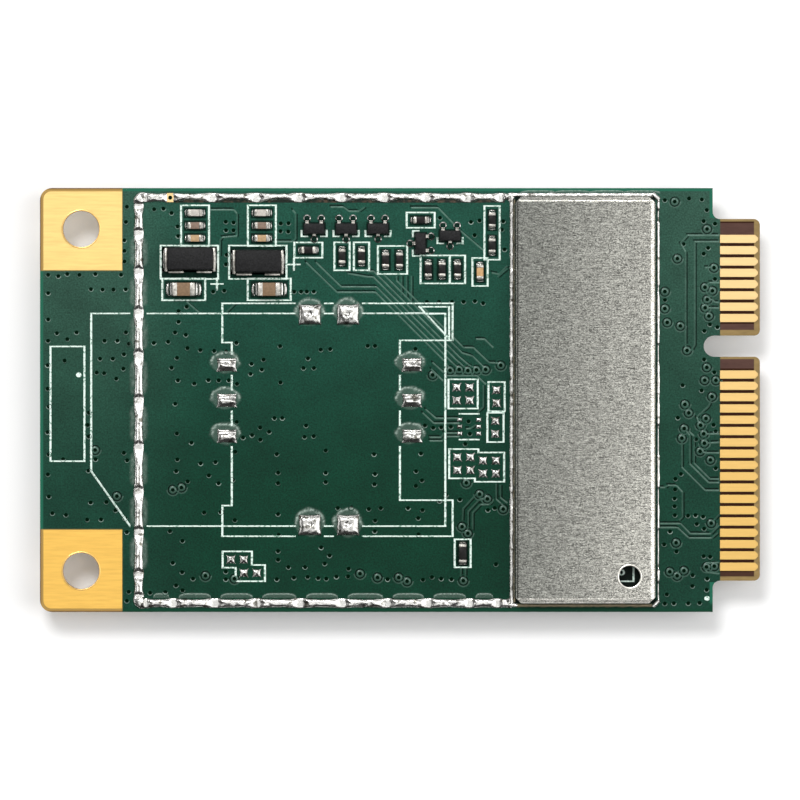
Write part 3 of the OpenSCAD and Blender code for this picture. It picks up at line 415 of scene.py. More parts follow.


# Vias
# Drilled and plated holes between the copper layers, tented with mask that sags into each hole.
# The larger ones have an open ring of copper round them. The places were read off the photo.

VIAS = [
    (-19.33, 13.67), (-19.4, 12.6), (-19.51, 11.3), (-19.51, 10.55), (-19.5, 9.8), (-24.9, 8.85),
    (-24.18, 8.76), (-23.55, 8.91), (-22.69, 8.85), (-21.56, 8.91), (-19.74, 8.86), (-21.87, 7.84),
    (-21.05, 7.81), (-20.28, 7.81), (-19.41, 7.83), (-24.9, 7.56), (-24.9, 5.7), (-17.4, 13.5),
    (-16.74, 13.54), (-16.17, 13.23), (-15.74, 12.28), (-15.7, 11.6), (-15.67, 6.29), (-15.67, 5.53),
    (-15.1, 6.6), (-12.33, 12.61), (-11.78, 12.56), (-12.31, 12.01), (-11.79, 12.01), (-8.44, 12.49),
    (-7.89, 12.51), (-8.46, 11.94), (-7.91, 11.92), (-12.26, 10.28), (-12.31, 9.6), (-13.22, 7.67),
    (-12.44, 7.74), (-7.5, 7.67), (-7.0, 7.67), (-6.6, 7.67), (-6.1, 7.67), (-24.28, 4.73), (-22.89, 4.78),
    (-23.55, 4.3), (-24.91, 4.19), (-20.91, 4.19), (-20.0, 4.19), (-19.4, 4.78), (-19.19, 3.98),
    (-19.54, 3.23), (-21.23, 2.92), (-20.33, 2.92), (-19.58, 2.21), (-21.46, 1.94), (-20.94, 1.89),
    (-20.08, 1.51), (-23.74, 2.79), (-24.94, 2.46), (-24.94, 0.8), (-24.86, -0.47), (-22.03, -0.9),
    (-22.1, -1.77), (-22.03, -2.59), (-24.94, -2.28), (-24.86, -3.85), (-23.84, -4.19), (-21.55, -4.2),
    (-19.54, -3.74), (-19.31, -4.27), (-22.05, -5.0), (-17.42, 4.03), (-16.41, 4.12), (-15.92, 4.78),
    (-15.16, 4.61), (-15.04, 3.67), (-15.78, 2.98), (-16.17, 2.28), (-15.72, 1.39), (-15.91, -0.27),
    (-15.79, -2.38), (-15.76, -4.21), (-15.84, -5.04), (-14.13, 3.53), (-13.15, 3.47), (-12.31, 3.44),
    (-11.58, 4.04), (-10.51, 2.56), (-9.66, 2.85), (-9.78, 2.15), (-10.58, 1.85), (-8.49, 3.81),
    (-8.46, 1.24), (-14.56, 1.16), (-13.56, 1.41), (-12.83, 1.39), (-12.11, 1.39), (-11.54, 1.14),
    (-6.51, 2.94), (-6.83, 2.26), (-6.09, 2.26), (-5.61, 3.56), (-4.94, 3.6), (-8.89, -1.28),
    (-8.33, -1.28), (-9.9, -1.95), (-9.26, -2.26), (-10.47, -2.49), (-11.11, -2.66), (-9.89, -2.81),
    (-6.65, -1.81), (-6.76, -2.61), (-6.11, -2.56), (-11.56, -1.56), (-11.66, -3.67), (-8.72, -3.84),
    (-5.26, -3.58), (-14.76, -3.03), (-14.11, -4.49), (-13.06, -4.4), (-2.29, 3.83), (-1.77, 3.83),
    (1.09, 3.61), (-1.84, -3.84), (1.48, -3.79), (1.14, -5.04), (1.76, -1.81), (2.35, -1.97), (2.92, -1.94),
    (3.6, -1.9), (4.62, -3.11), (4.85, -1.51), (4.94, -2.39), (2.83, 12.9), (5.02, 12.6), (5.63, 12.7),
    (5.28, 11.67), (7.3, 12.65), (7.2, 12.05), (7.4, 10.65), (1.9, 6.95), (2.76, 6.95), (3.68, 6.95),
    (4.5, 6.95), (5.3, 7.0), (5.88, 6.85), (18.74, 14.14), (20.45, 14.26), (21.36, 14.19), (21.71, 13.44),
    (21.49, 12.66), (22.29, 12.48), (20.06, 11.04), (21.81, 10.76), (21.49, 10.35), (22.29, 8.56),
    (18.75, 7.09), (21.93, 5.35), (22.46, 5.15), (21.54, 4.89), (21.52, 2.87), (22.24, 1.96), (20.0, 1.04),
    (21.34, 0.67), (19.66, -1.26), (22.19, -1.76), (22.34, -2.22), (20.95, -2.78), (22.34, -4.83),
    (-24.92, -5.27), (-24.85, -6.84), (-21.89, -7.26), (-20.78, -7.22), (-20.14, -7.81), (-24.6, -8.02),
    (-23.64, -8.14), (-22.14, -8.47), (-21.16, -8.46), (-19.46, -8.38), (-19.33, -9.36), (-19.2, -13.58),
    (-19.33, -14.22), (-16.28, -9.29), (-15.4, -9.97), (-16.08, -11.53), (-15.42, -12.19), (-15.85, -13.13),
    (-17.69, -13.65), (-16.61, -13.6), (-15.39, -13.47), (-13.53, -5.34), (-15.03, -5.76), (-12.84, -5.9),
    (-11.83, -5.65), (-8.63, -5.15), (-8.63, -5.89), (-5.26, -5.15), (-5.26, -5.81), (-13.86, -7.97),
    (-12.69, -7.94), (-11.69, -8.51), (-8.63, -8.08), (-8.58, -9.54), (-8.63, -10.7), (-8.63, -11.31),
    (-7.9, -11.83), (-6.72, -11.83), (-5.58, -10.44), (-4.99, -11.01), (-5.33, -11.58), (-8.72, -12.69),
    (-7.51, -12.58), (-6.54, -12.53), (-5.79, -12.61), (-5.22, -12.65), (-14.65, -12.65), (-12.33, -12.15),
    (-12.33, -12.69), (-1.77, -5.24), (-1.81, -5.97), (1.55, -5.69), (1.12, -6.08), (3.26, -6.72),
    (2.8, -7.15), (4.24, -7.04), (-4.4, -7.65), (-3.45, -7.61), (-2.21, -7.72), (-1.36, -7.65),
    (0.57, -7.65), (1.59, -7.79), (1.29, -8.36), (-1.76, -8.53), (-1.79, -9.29), (1.31, -9.51),
    (-3.64, -11.94), (-3.68, -12.49), (-4.5, -12.51), (-0.88, -12.69), (1.62, -12.72), (2.26, -12.54),
    (2.91, -12.65), (3.64, -12.69), (6.7, -7.65), (6.22, -7.79), (6.79, -11.63), (19.88, -5.24),
    (19.49, -5.58), (19.47, -6.33), (19.43, -6.97), (19.43, -7.52), (19.45, -8.15), (20.38, -8.19),
    (20.91, -8.15), (21.45, -8.26), (21.0, -8.78), (21.52, -9.11), (19.11, -9.31), (19.56, -10.72),
    (18.69, -10.22), (21.49, -11.06), (21.95, -11.1), (20.71, -12.4), (21.74, -12.65), (20.69, -13.17),
    (21.7, -13.44), (18.88, -13.76), (18.74, -14.41), (19.38, -14.39), (20.4, -14.39), (21.2, -14.36),
]
RING_VIAS = [
    (19.44, 14.04), (21.73, 12.1), (19.63, 10.01), (22.22, 9.36), (21.58, 7.98), (22.11, 7.73),
    (18.74, 7.67), (18.74, 6.47), (21.74, 7.11), (21.59, 6.53), (21.86, 5.94), (18.91, 5.49), (19.84, 5.24),
    (20.31, 3.51), (21.71, 2.31), (21.56, 1.4), (22.36, 1.39), (22.08, 0.24), (20.16, -0.31),
    (20.43, -0.91), (21.65, -1.31), (21.27, -1.79), (20.11, -2.02), (21.49, -2.39), (19.94, -2.7),
    (21.54, -3.06), (21.24, -3.63), (21.97, -4.24), (-21.58, -3.54), (-20.04, -6.81), (-16.08, -6.36),
    (-15.47, -6.19), (-13.77, -12.44), (-11.72, -12.65), (-2.83, -12.29), (-1.59, -12.56), (-0.09, -12.56),
    (0.5, -12.83), (4.48, -12.79), (4.69, -5.86), (4.39, -8.97), (4.8, -9.44), (5.63, -6.67), (6.18, -7.0),
    (7.3, -7.72), (22.02, -8.72), (19.54, -10.1), (21.69, -11.81), (22.24, -11.76), (19.09, -12.15),
    (20.09, -12.08), (19.61, -12.44), (2.31, 1.77), (3.54, 2.1), (4.18, 2.16), (4.8, 2.08), (5.41, 2.13),
    (6.06, 2.16), (7.13, 2.45),
]


def add_dish(shape, centre, rings):
    """A round dish or dome on the board, built from the outside in.

    Each ring has a radius, a height above the board and the materials of its lower and upper half.
    """
    circle = bmesh.ops.create_circle(shape, cap_ends=True, segments=12, radius=rings[0][0],
                                     matrix=Matrix.Translation((*centre, BOARD_TOP + rings[0][1])))
    face = circle["verts"][0].link_faces[0]
    for (outer, _, _), (radius, height, halves) in zip(rings, rings[1:]):
        edge = bmesh.ops.inset_region(shape, faces=[face], thickness=outer - radius, use_boundary=True,
                                       use_even_offset=True)
        for ring_face in edge["faces"]:
            ring_face.material_index = halves[ring_face.calc_center_median().y > centre[1]]
        for corner in face.verts:
            corner.co.z = BOARD_TOP + height
    face.material_index = rings[-1][2][0]


# The halves of each ring carry painted light from above: a painted highlight on the lower side of the small
# vias' dimples and of the rings' outer edge, a painted-lit upper side on the ring pads, and painted shade in
# the rings' groove and in every pit.
LIT, PIT, PLAIN, GROOVE, PAD, RIM_HIGHLIGHT = range(6)
SMALL_VIA = [(0.24, 0.001, (PLAIN, PLAIN)), (0.2, 0.03, (PLAIN, PLAIN)), (0.145, 0.004, (RIM_HIGHLIGHT, PLAIN)),
             (0.13, 0.003, (PIT, PIT))]
RINGED_VIA = [(0.48, 0.001, (PLAIN, PLAIN)), (0.45, 0.024, (PAD, PLAIN)), (0.38, 0.002, (PAD, PLAIN)),
              (0.28, 0.003, (GROOVE, GROOVE)), (0.24, 0.03, (PAD, PAD)), (0.15, 0.034, (PAD, LIT)),
              (0.13, 0.025, (PIT, PIT))]

vias = bmesh.new()
for centre in VIAS:
    add_dish(vias, centre, SMALL_VIA)
for centre in RING_VIAS:
    add_dish(vias, centre, RINGED_VIA)
# The pit is painted near black as the shade in the hole.
pit_shade, place = start_finish("via_pit_painted_shade")
set_finish(pit_shade, Base_Color=tint(srgb(2, 24, 12), 0.5 + 0.8 * grain(place, 6.0)), Roughness=0.8,
           Specular_IOR_Level=0.0)
pad_mask = lit_mask("mask_over_via_pad", low=0.03, span=0.12, scale=2.0, roughness=0.22, specular=0.2)
# The rim's pale glint is a painted highlight.
via_rim_highlight, place = start_finish("painted_highlight_on_via_rim")
glint = 0.5 * smooth(grain(place, 0.9), 0.3, 0.8)
set_finish(via_rim_highlight, Base_Color=mix(mask_colour(place), srgb(186, 206, 196), glint), Roughness=0.3,
           Specular_IOR_Level=0.2)
end_piece(vias, "tented_vias", [raised, pit_shade, mask, shade_mask, pad_mask, via_rim_highlight], sharp=80)


# Gold contacts and mounting pads
# Copper plated with nickel and hard gold, smooth at the contacts and finely brushed at the screw pads.
# The contacts are tapered at their tips so that they ride into the socket.

def gold_finish(name, deep, pale, scratches):
    """Plated gold, deep towards the card's lower side and pale towards its upper side."""
    material, place = start_finish(name)
    _, y, _ = axes(place)
    base = mix(deep, pale, smooth(y, -8, 13))
    lines = grain(place, 7.0, 3.0, (0.08, 1, 1))
    set_finish(material, Base_Color=tint(base, 1 - scratches / 2 + scratches * lines), Metallic=1.0,
               Roughness=0.34 + 0.12 * grain(place, 1.2), Normal=relief(lines, 0.004))
    return material


pad_gold = gold_finish("gold_screw_pads", srgb(210, 168, 84), srgb(214, 183, 116), scratches=0.36)
finger_gold = gold_finish("gold_contacts", srgb(200, 164, 96), srgb(211, 182, 131), scratches=0.15)
dress(pad_gold, "mount_pads_front", "mount_pads_back")

(FINGER_LEFT, _, _), (FINGER_TIP, _, _) = node_box("contact_fingers_front")
FINGER_TAPER = 0.2
FINGER_HALF = 0.295
FINGER_NOSE = 0.09
FINGER_T = 0.04
FINGER_BEVEL = 0.016
FINGER_PITCH = 0.8
UPPER_GROUP_Y = 5.8
LOWER_GROUP_Y = 1.8
finger_ys = [UPPER_GROUP_Y + FINGER_PITCH * i for i in range(8)]
finger_ys += [LOWER_GROUP_Y - FINGER_PITCH * i for i in range(18)]


def only(kind, geometry):
    return [item for item in geometry if isinstance(item, kind)]


def round_edges(shape, edges, offset, segments):
    return bmesh.ops.bevel(shape, geom=edges, offset=offset, offset_type="OFFSET", segments=segments,
                           profile=0.5, material=-1, affect="EDGES")


def add_plate(shape, outline, low, high, bevel):
    """A flat plate of this outline between two levels, with the edges of its second face rounded."""
    face = shape.faces.new([shape.verts.new((px, py, low)) for px, py in outline])
    grown = bmesh.ops.extrude_face_region(shape, geom=[face])["geom"]
    bmesh.ops.translate(shape, vec=(0, 0, high - low), verts=only(bmesh.types.BMVert, grown))
    round_edges(shape, only(bmesh.types.BMEdge, grown), bevel, 2)


finger_side = [(FINGER_LEFT, FINGER_HALF), (FINGER_TIP - FINGER_TAPER, FINGER_HALF),
               (FINGER_TIP, FINGER_NOSE)]
for name, level, rise in (("front", BOARD_TOP, FINGER_T), ("back", BOARD_LOW, -FINGER_T)):
    contacts = bmesh.new()
    for middle in finger_ys:
        outline = [(px, middle + dy) for px, dy in finger_side]
        outline += [(px, middle - dy) for px, dy in reversed(finger_side)]
        add_plate(contacts, outline, level, level + rise, FINGER_BEVEL)
    end_piece(contacts, "gold_contacts_" + name, [finger_gold],
              ["contact_fingers_" + name], sharp=15)


# Plating of the mounting holes
# A thin barrel of gold plating lines each hole and turns over on to the pads with a low lip.

HOLE_X = -22.575
HOLE_Y = 12.1
HOLE_R = 1.3
BARREL_T = 0.02
LIP_W = 0.08
lip_section = [(0.0, 0.045), (LIP_W / 2, 0.055), (LIP_W, 0.04)]


def add_ring(shape, centre, section, steps):
    """A closed section of radii and levels, turned about an upright line."""
    loop = [shape.verts.new((centre[0] + radius, centre[1], level)) for radius, level in section]
    edges = [shape.edges.new(pair) for pair in zip(loop, loop[1:] + loop[:1])]
    bmesh.ops.spin(shape, geom=loop + edges, cent=(*centre, 0), axis=(0, 0, 1), angle=2 * math.pi,
                   steps=steps, use_merge=True)


barrels = bmesh.new()
for side in (-1, 1):
    section = [(HOLE_R + out, BOARD_LOW - lift) for out, lift in lip_section]
    section += [(HOLE_R + out, BOARD_TOP + lift) for out, lift in reversed(lip_section)]
    section += [(HOLE_R - BARREL_T, BOARD_TOP), (HOLE_R - BARREL_T, BOARD_LOW)]
    add_ring(barrels, (HOLE_X, side * HOLE_Y), section, 64)
lip_gold, place = start_finish("gold_hole_lip")
set_finish(lip_gold, Base_Color=tint(srgb(206, 168, 104), speckle(place, 4.0, 0.4)), Metallic=1.0,
           Roughness=0.3)
end_piece(barrels, "mounting_hole_plating", [lip_gold])


# Printed legend
# White ink screened on the mask: outlines of the parts and of the socket that is not fitted.
# The solid's lines along the card are drawn thinner here, and the ink is worn in spots.

INK_SHRINK = 0.021
SIDEWAYS = 0.6
legend = bmesh.new()
legend.from_mesh(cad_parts["printed_legend"].data)
bmesh.ops.scale(legend, vec=(1000, 1000, 1000), verts=legend.verts)
bmesh.ops.remove_doubles(legend, verts=legend.verts, dist=0.001)
legend.normal_update()
drawn_in = {corner: -INK_SHRINK * side.normal.y for side in legend.faces for corner in side.verts
            if abs(side.normal.y) > SIDEWAYS}
for corner, shift in drawn_in.items():
    corner.co.y += shift
ink, place = start_finish("white_legend_ink")
wear = smooth(grain(place, 7.0, 3.0), 0.34, 0.5)
set_finish(ink, Base_Color=mix(srgb(104, 146, 126), srgb(222, 240, 230), wear),
           Roughness=0.55 + 0.2 * grain(place, 6.0), Normal=relief(grain(place, 10.0), 0.01))
end_piece(legend, "legend_ink", [ink], ["printed_legend"])


# Solder of the shield track
# Tin solder printed and reflowed on a bare copper track, left over from a shield that is not fitted.
# It draws up into beads between the flat pads, turns the corners, and seams the foot of the shield can.

def solder_finish(name, tone, stain_size, stain_from):
    """Reflowed tin solder of this brightness, lumpy, with patches dulled by flux."""
    material, place = start_finish(name)
    lumps = grain(place, 3.0, 3.0)
    film = smooth(grain(place, 1 / stain_size, 4.0), stain_from, stain_from + 0.15)
    bright = srgb(tone, tone - 1, tone - 5)
    dim = srgb(0.5 * tone, 0.49 * tone, 0.45 * tone)
    set_finish(material, Base_Color=mix(bright, dim, film), Metallic=1.0, Roughness=0.14 + 0.22 * lumps,
               Normal=relief(lumps, 0.03))
    return material


solder = solder_finish("reflowed_solder", tone=210, stain_size=0.4, stain_from=0.54)

TRACK_X = -18.49
TRACK_Y = 14.32
LOW_TRACK_Y = -14.38
TRACK_END = 7.9
TRACK_HALF = 0.36
BEND = 0.45
PAD_HALF = 0.17
TINNED_H = 0.04
BEAD_H = 0.16
SEAM_W = 0.34
SEAM_H = 0.09
THINNEST = 0.002
SINK = 0.01
left_pads = [-12.33, -9.33, -6.44, -3.3, 0, 3.2, 6.25, 9.1, 11.85]
top_pads = [-16.26, -13.2, -10.1, -7.1, -4.06, -1.06, 1.94, 4.84, 7.2]
low_pads = [-16.0, -13.04, -10.08, -7.0, -4.05, -0.86, 2.02, 5.0, 6.93]


def ease(value):
    """From 0 to 1, eased at both ends."""
    held = min(max(value, 0.0), 1.0)
    return held * held * (3 - 2 * held)


def wobble(px, py, size, seed):
    """Smooth unevenness from about -1 to 1, in lumps of this size."""
    return noise(Vector((px / size, py / size, seed)))


def add_sheet(shape, columns, rows, form):
    """A closed lump on the board: a grid whose upper face takes its points from form(across, along)."""
    grid = bmesh.ops.create_grid(shape, x_segments=columns, y_segments=rows, size=1.0)
    faces = list({face for vert in grid["verts"] for face in vert.link_faces})
    grown = bmesh.ops.extrude_face_region(shape, geom=faces)["geom"]
    for corner in only(bmesh.types.BMVert, grown):
        px, py, height = form(corner.co.x, corner.co.y)
        corner.co = (px, py, BOARD_TOP + max(height, THINNEST))
    for corner in grid["verts"]:
        px, py, _ = form(corner.co.x, corner.co.y)
        corner.co = (px, py, BOARD_TOP - SINK)
    lower = {face for corner in grid["verts"] for face in corner.link_faces}
    return lower | set(only(bmesh.types.BMFace, grown))


def skewed_dome(across, crest):
    """A dome over -1 to 1 whose crest lies to one side."""
    reach = 1 - crest if across > crest else 1 + crest
    return max(1 - ((across - crest) / reach) ** 2, 0) ** 0.7


def track_height(across, swell, crest):
    """Height of the tinned track, with a bead that swells from 0 to 1."""
    return TINNED_H * (1 - across ** 8) + BEAD_H * swell * skewed_dome(across, crest)


def add_bead_run(shape, start, end, pads, place_of, crest, crease, seed, waist=0.0):
    """Solder along one run of the track: domed beads between flat pads.

    place_of(at, off) is the place on the board so far along the run and so far off its middle line.
    A crease runs along each bead, and a waist draws in one side of it.
    """
    stops = [start] + pads + [end]

    def form(across, along):
        at = start + (end - start) * (along + 1) / 2
        gap = next(i for i in range(len(stops) - 1) if at <= stops[i + 1] + 1e-6)
        first, last = stops[gap] + PAD_HALF, stops[gap + 1] - PAD_HALF
        share = min(max((at - first) / (last - first), 0), 1)
        between = math.sin(math.pi * share)
        rise = ease(share / (0.04 + 0.14 * (1 - abs(across)) ** 2)) * ease((1 - share) / 0.3)
        lumpy = 1 + 0.3 * wobble(at, across * 0.4, 0.4, seed + 7)
        valley = crease * ease(share / 0.15) * ease((0.7 - share) / 0.3) * math.exp(-(across / 0.14) ** 2)
        half = TRACK_HALF - 0.05 * between + 0.03 * wobble(at, across, 0.4, seed)
        if across > 0 and gap > 0:
            half *= 1 - waist * between ** 1.4
        return (*place_of(at, across * half), track_height(across, rise * lumpy * (1 - valley), crest))

    add_sheet(shape, 10, int((end - start) / 0.1), form)


def add_elbow(shape, hub, start, seed):
    """A quarter turn of the track about a hub, from this angle on."""
    def form(across, along):
        angle = math.radians(start + 45 * (along + 1))
        filled = 0.14 * max(across, 0) * (1 - along * along)
        radius = BEND + filled + across * (TRACK_HALF + 0.03 * wobble(along, across, 0.4, seed))
        lumpy = 1 + 0.3 * wobble(along, across, 0.4, seed + 7)
        swell = ease(1.5 - 1.5 * abs(along)) * lumpy
        spot = (hub[0] + radius * math.cos(angle), hub[1] + radius * math.sin(angle))
        return (*spot, track_height(across, swell, 0.0))

    add_sheet(shape, 10, 14, form)


def add_seam(shape, first, last, width, height, seed, gaps=None, index=0):
    """A ragged strip of solder along a straight line, broken off where its unevenness is below gaps."""
    first, last = Vector(first), Vector(last)
    step = last - first
    side = Vector((-step.y, step.x)).normalized()

    def form(across, along):
        at = first + step * (along + 1) / 2
        ragged = 1 + 0.35 * wobble(at.x, at.y, 0.5, seed)
        there = 1 if gaps is None else ease((wobble(at.x, at.y, 1.6, seed + 3) - gaps) * 6)
        spot = at + side * across * width / 2 * ragged * (0.3 + 0.7 * there)
        lumpy = 1 + 0.4 * wobble(spot.x, spot.y, 0.4, seed + 5)
        return spot.x, spot.y, height * lumpy * there * (1 - across ** 4)

    for face in add_sheet(shape, 6, int(step.length / 0.1), form):
        face.material_index = index


def mottled(name, colour, spots, rough, bumps, **sockets):
    """A mottled finish. Its spots have a scale and a strength.

    Its roughness has a least value, a spread and a scale, and its bumps a depth in millimetres and a scale.
    """
    material, place = start_finish(name)
    least, spread, rough_scale = rough
    depth, *bump_scale = bumps
    set_finish(material, Base_Color=tint(srgb(*colour), speckle(place, *spots)),
               Roughness=least + spread * grain(place, rough_scale),
               Normal=relief(grain(place, *bump_scale), depth), **sockets)
    return material


track = bmesh.new()
add_bead_run(track, LOW_TRACK_Y + BEND, TRACK_Y - BEND, left_pads,
             lambda at, off: (TRACK_X + off, at), crest=0.0, crease=0.6, seed=1)
add_bead_run(track, TRACK_X + BEND, TRACK_END, top_pads,
             lambda at, off: (at, TRACK_Y - off), crest=-0.35, crease=0.0, seed=2, waist=0.5)
add_bead_run(track, TRACK_X + BEND, TRACK_END, low_pads,
             lambda at, off: (at, LOW_TRACK_Y - off), crest=-0.3, crease=0.0, seed=3)
# These two seams take the dull solder: the one under the can's lower side is painted dull grey as shade, the
# narrow one beside the can's left side is dull tan solder.
add_seam(track, (8.07, -14.3), (8.07, 14.2), 0.2, 0.05, seed=21, index=1)
add_seam(track, (8.3, -14.54), (17.9, -14.54), 0.24, 0.06, seed=22, index=1)
add_seam(track, (7.92, -14.5), (7.92, 14.5), SEAM_W, SEAM_H, seed=11)
add_seam(track, (7.9, 14.5), (18.1, 14.5), SEAM_W, SEAM_H, seed=12)
add_seam(track, (18.28, 14.4), (18.28, -14.4), 0.22, SEAM_H, seed=13, gaps=-0.25)
for side in (-1, 1):
    add_seam(track, (17.88, side * 14.62), (18.33, side * 14.2), SEAM_W, 0.13, seed=17 + side)
    add_seam(track, (7.7, side * 14.5), (8.28, side * 14.52), SEAM_W, 0.12, seed=19 + side)
add_elbow(track, (TRACK_X + BEND, TRACK_Y - BEND), start=90, seed=15)
add_elbow(track, (TRACK_X + BEND, LOW_TRACK_Y + BEND), start=180, seed=16)
shaded_dull_solder = mottled("solder_dulled_and_painted_shade", (132, 122, 98), (5.0, 1.2), (0.4, 0.2, 4.0), (0.03, 5.0),
                      Metallic=0.6)
end_piece(track, "shield_track_solder", [solder, shaded_dull_solder], ["shield_rail_solder"], sharp=75)


# Beside the upper run of the track
# A dark strip along the lower side of its beads is painted shade and painted dark reflection.
# One pad took no solder: it is bare gold round a small hole, whose shade is painted dark.

BED_MIDDLE = (-4.25, 14.185)
BED_SIZE = (23.3, 0.43)
BED_H = 0.012
BED_BEVEL = 0.004
BARE_PAD = (-16.26, TRACK_Y)
BARE_SIZE = (0.48, 0.66)
BARE_H = 0.06
BARE_BEVEL = 0.02
BARE_HOLE = [(0.15, BARE_H + 0.001, (1, 1)), (0.12, BARE_H + 0.002, (1, 1))]
CORNERS = ((-1, -1), (1, -1), (1, 1), (-1, 1))


def rectangle(middle, size):
    return [(middle[0] + dx * size[0] / 2, middle[1] + dy * size[1] / 2) for dx, dy in CORNERS]


painted_shade_beside_beads = bmesh.new()
add_plate(painted_shade_beside_beads, rectangle(BED_MIDDLE, BED_SIZE), BOARD_TOP, BOARD_TOP + BED_H, BED_BEVEL)
bead_shade_and_reflection, place = start_finish("bead_shade_and_reflection")
shade_mottle = smooth(grain(place, 2.5, 4.0), 0.44, 0.7)
set_finish(bead_shade_and_reflection, Base_Color=mix(srgb(12, 26, 18), srgb(78, 64, 50), shade_mottle), Roughness=0.35,
           Specular_IOR_Level=0.2, Normal=relief(grain(place, 4.0), 0.02))
end_piece(painted_shade_beside_beads, "painted_shade_beside_beads", [bead_shade_and_reflection])

bare_pad = bmesh.new()
add_plate(bare_pad, rectangle(BARE_PAD, BARE_SIZE), BOARD_TOP, BOARD_TOP + BARE_H, BARE_BEVEL)
add_dish(bare_pad, BARE_PAD, BARE_HOLE)
end_piece(bare_pad, "bare_track_pad", [finger_gold, pit_shade], sharp=15)


# Solder on the card socket's pads and on the spare pads
# Printed solder with nothing set in it: it pulls to the corners of each pad and leaves ragged sides.

def add_pillow(shape, middle, size, profile, height, pinch, seed, cells=14):
    """A lump of solder on a pad, drawn in between its corners; profile(across, along) shapes its top."""
    def form(across, along):
        pull_x = 1 - pinch * (1 - along * along) + 0.08 * wobble(along, across, 0.5, seed)
        pull_y = 1 - pinch * (1 - across * across) + 0.08 * wobble(across, along, 0.5, seed + 2)
        edge = max(abs(across), abs(along))
        lumpy = 1 + 0.35 * wobble(across, along, 0.4, seed + 4)
        return (middle[0] + across * size[0] / 2 * pull_x, middle[1] + along * size[1] / 2 * pull_y,
                height * lumpy * (1 - edge ** 6) * profile(across, along))

    add_sheet(shape, cells, cells, form)


def ridged_pad(across, along):
    """A rim along the upper edge, a trough under it and a broad swell below."""
    rim = math.exp(-((along - 0.85) / 0.16) ** 2)
    swell = math.exp(-((along + 0.15) / 0.55) ** 2)
    return 0.15 + 0.75 * rim + swell * (1 - 0.4 * across * across)


def dimpled_pad(across, along):
    """A swell with a dimple just above its middle."""
    dimple = math.exp(-(across * across + (along - 0.05) ** 2) / 0.05)
    return 0.3 + (1 - 0.6 * along * along) * (1 - 0.5 * across * across) - 0.75 * dimple


def arched_pad(across, along):
    """A swell drawn to the upper side, with a hollow in the middle of the lower side."""
    hollow = math.exp(-(across / 0.3) ** 2 - ((along + 0.8) / 0.5) ** 2)
    return (1.2 - 0.3 * along * along) * (1 - 0.4 * across * across) - 1.1 * hollow


SOCKET_MIDDLE = (-5.705, -1.40)
SIDE_PAD = (1.45, 1.0)
SIDE_PAD_OUT = 6.55
SIDE_PAD_UP = 1.37
SIDE_PITCH = 2.52
END_TAB = (1.6, 1.5)
END_TAB_OUT = 7.45
END_TAB_RIGHT = 0.67
END_HALF_PITCH = 1.35
SOCKET_SOLDER_H = 0.17
side_pads = [(SOCKET_MIDDLE[0] + side * SIDE_PAD_OUT, SOCKET_MIDDLE[1] + SIDE_PAD_UP + row * SIDE_PITCH)
             for side in (-1, 1) for row in (-1, 0, 1)]
end_tabs = [(SOCKET_MIDDLE[0] + END_TAB_RIGHT + side * END_HALF_PITCH, SOCKET_MIDDLE[1] + end * END_TAB_OUT)
            for end in (-1, 1) for side in (-1, 1)]
pad_solder = solder_finish("pad_solder", tone=186, stain_size=0.4, stain_from=0.54)
socket_solder = bmesh.new()
for i, middle in enumerate(side_pads):
    add_pillow(socket_solder, middle, SIDE_PAD, ridged_pad, SOCKET_SOLDER_H, pinch=0.08, seed=20 + i)
for i, middle in enumerate(end_tabs):
    add_pillow(socket_solder, middle, END_TAB, dimpled_pad, SOCKET_SOLDER_H, pinch=0.03, seed=30 + i)
end_piece(socket_solder, "socket_pad_solder", [pad_solder], ["sim_pad_solder"], sharp=75)

SPARE_PITCH = 0.92
SPARE_PAD = (0.66, 0.64)
spare_fields = [((4.465, 0.43), 2, 2), ((6.835, 0.24), 1, 2), ((6.755, -1.94), 1, 2), ((4.515, -4.51), 2, 2),
                ((6.335, -4.75), 2, 2), ((-11.515, -11.29), 2, 1), ((-10.595, -12.25), 2, 1)]
PIN_MIDDLE = (4.895, -1.89)
PIN_PAD = (0.42, 0.32)
PIN_OUT = 0.67
PIN_PITCH = 0.49
spare_solder = bmesh.new()
for (px, py), columns, rows in spare_fields:
    for i in range(columns * rows):
        spot = (px + SPARE_PITCH * (i % columns - (columns - 1) / 2),
                py + SPARE_PITCH * (i // columns - (rows - 1) / 2))
        add_pillow(spare_solder, spot, SPARE_PAD, arched_pad, height=0.09, pinch=0.2,
                   seed=40 + i + int(10 * px), cells=12)
for side in (-1, 1):
    for row in (-1, 0, 1):
        spot = (PIN_MIDDLE[0] + side * PIN_OUT, PIN_MIDDLE[1] + row * PIN_PITCH)
        add_pillow(spare_solder, spot, PIN_PAD, arched_pad, height=0.07, pinch=0.16, seed=70 + row, cells=8)
end_piece(spare_solder, "spare_pad_solder_lumps", [pad_solder], ["spare_pad_solder"], sharp=75)


# Flux residue
# A clear skin that boiled out of the solder paste: haloes round the socket pads, haze along the left
# run of the track, and pale arches inside the lower run and above the can.

FILM_H = 0.006
SIDE_HALO = (2.4, 1.85)
SIDE_HALO_SHIFT = (-0.12, 0.14)
END_HALO = (2.35, 2.4)
END_HALO_UP = 0.12
HALO_CELLS = 36
HAZE_W = 1.45
HAZE_GAP = 0.5
LOW_ARCH_Y = -13.82
LOW_ARCH_W = 0.36
LOW_ARCH_GAP = 0.7
LOW_ARCH_START = -17.8
TOP_ARCH_Y = 14.74
TOP_ARCH = (2.6, 0.24)
TOP_ARCH_STARTS = (8.6, 11.0, 13.5, 15.9)
TOP_ARCH_RIGHT = 1.2


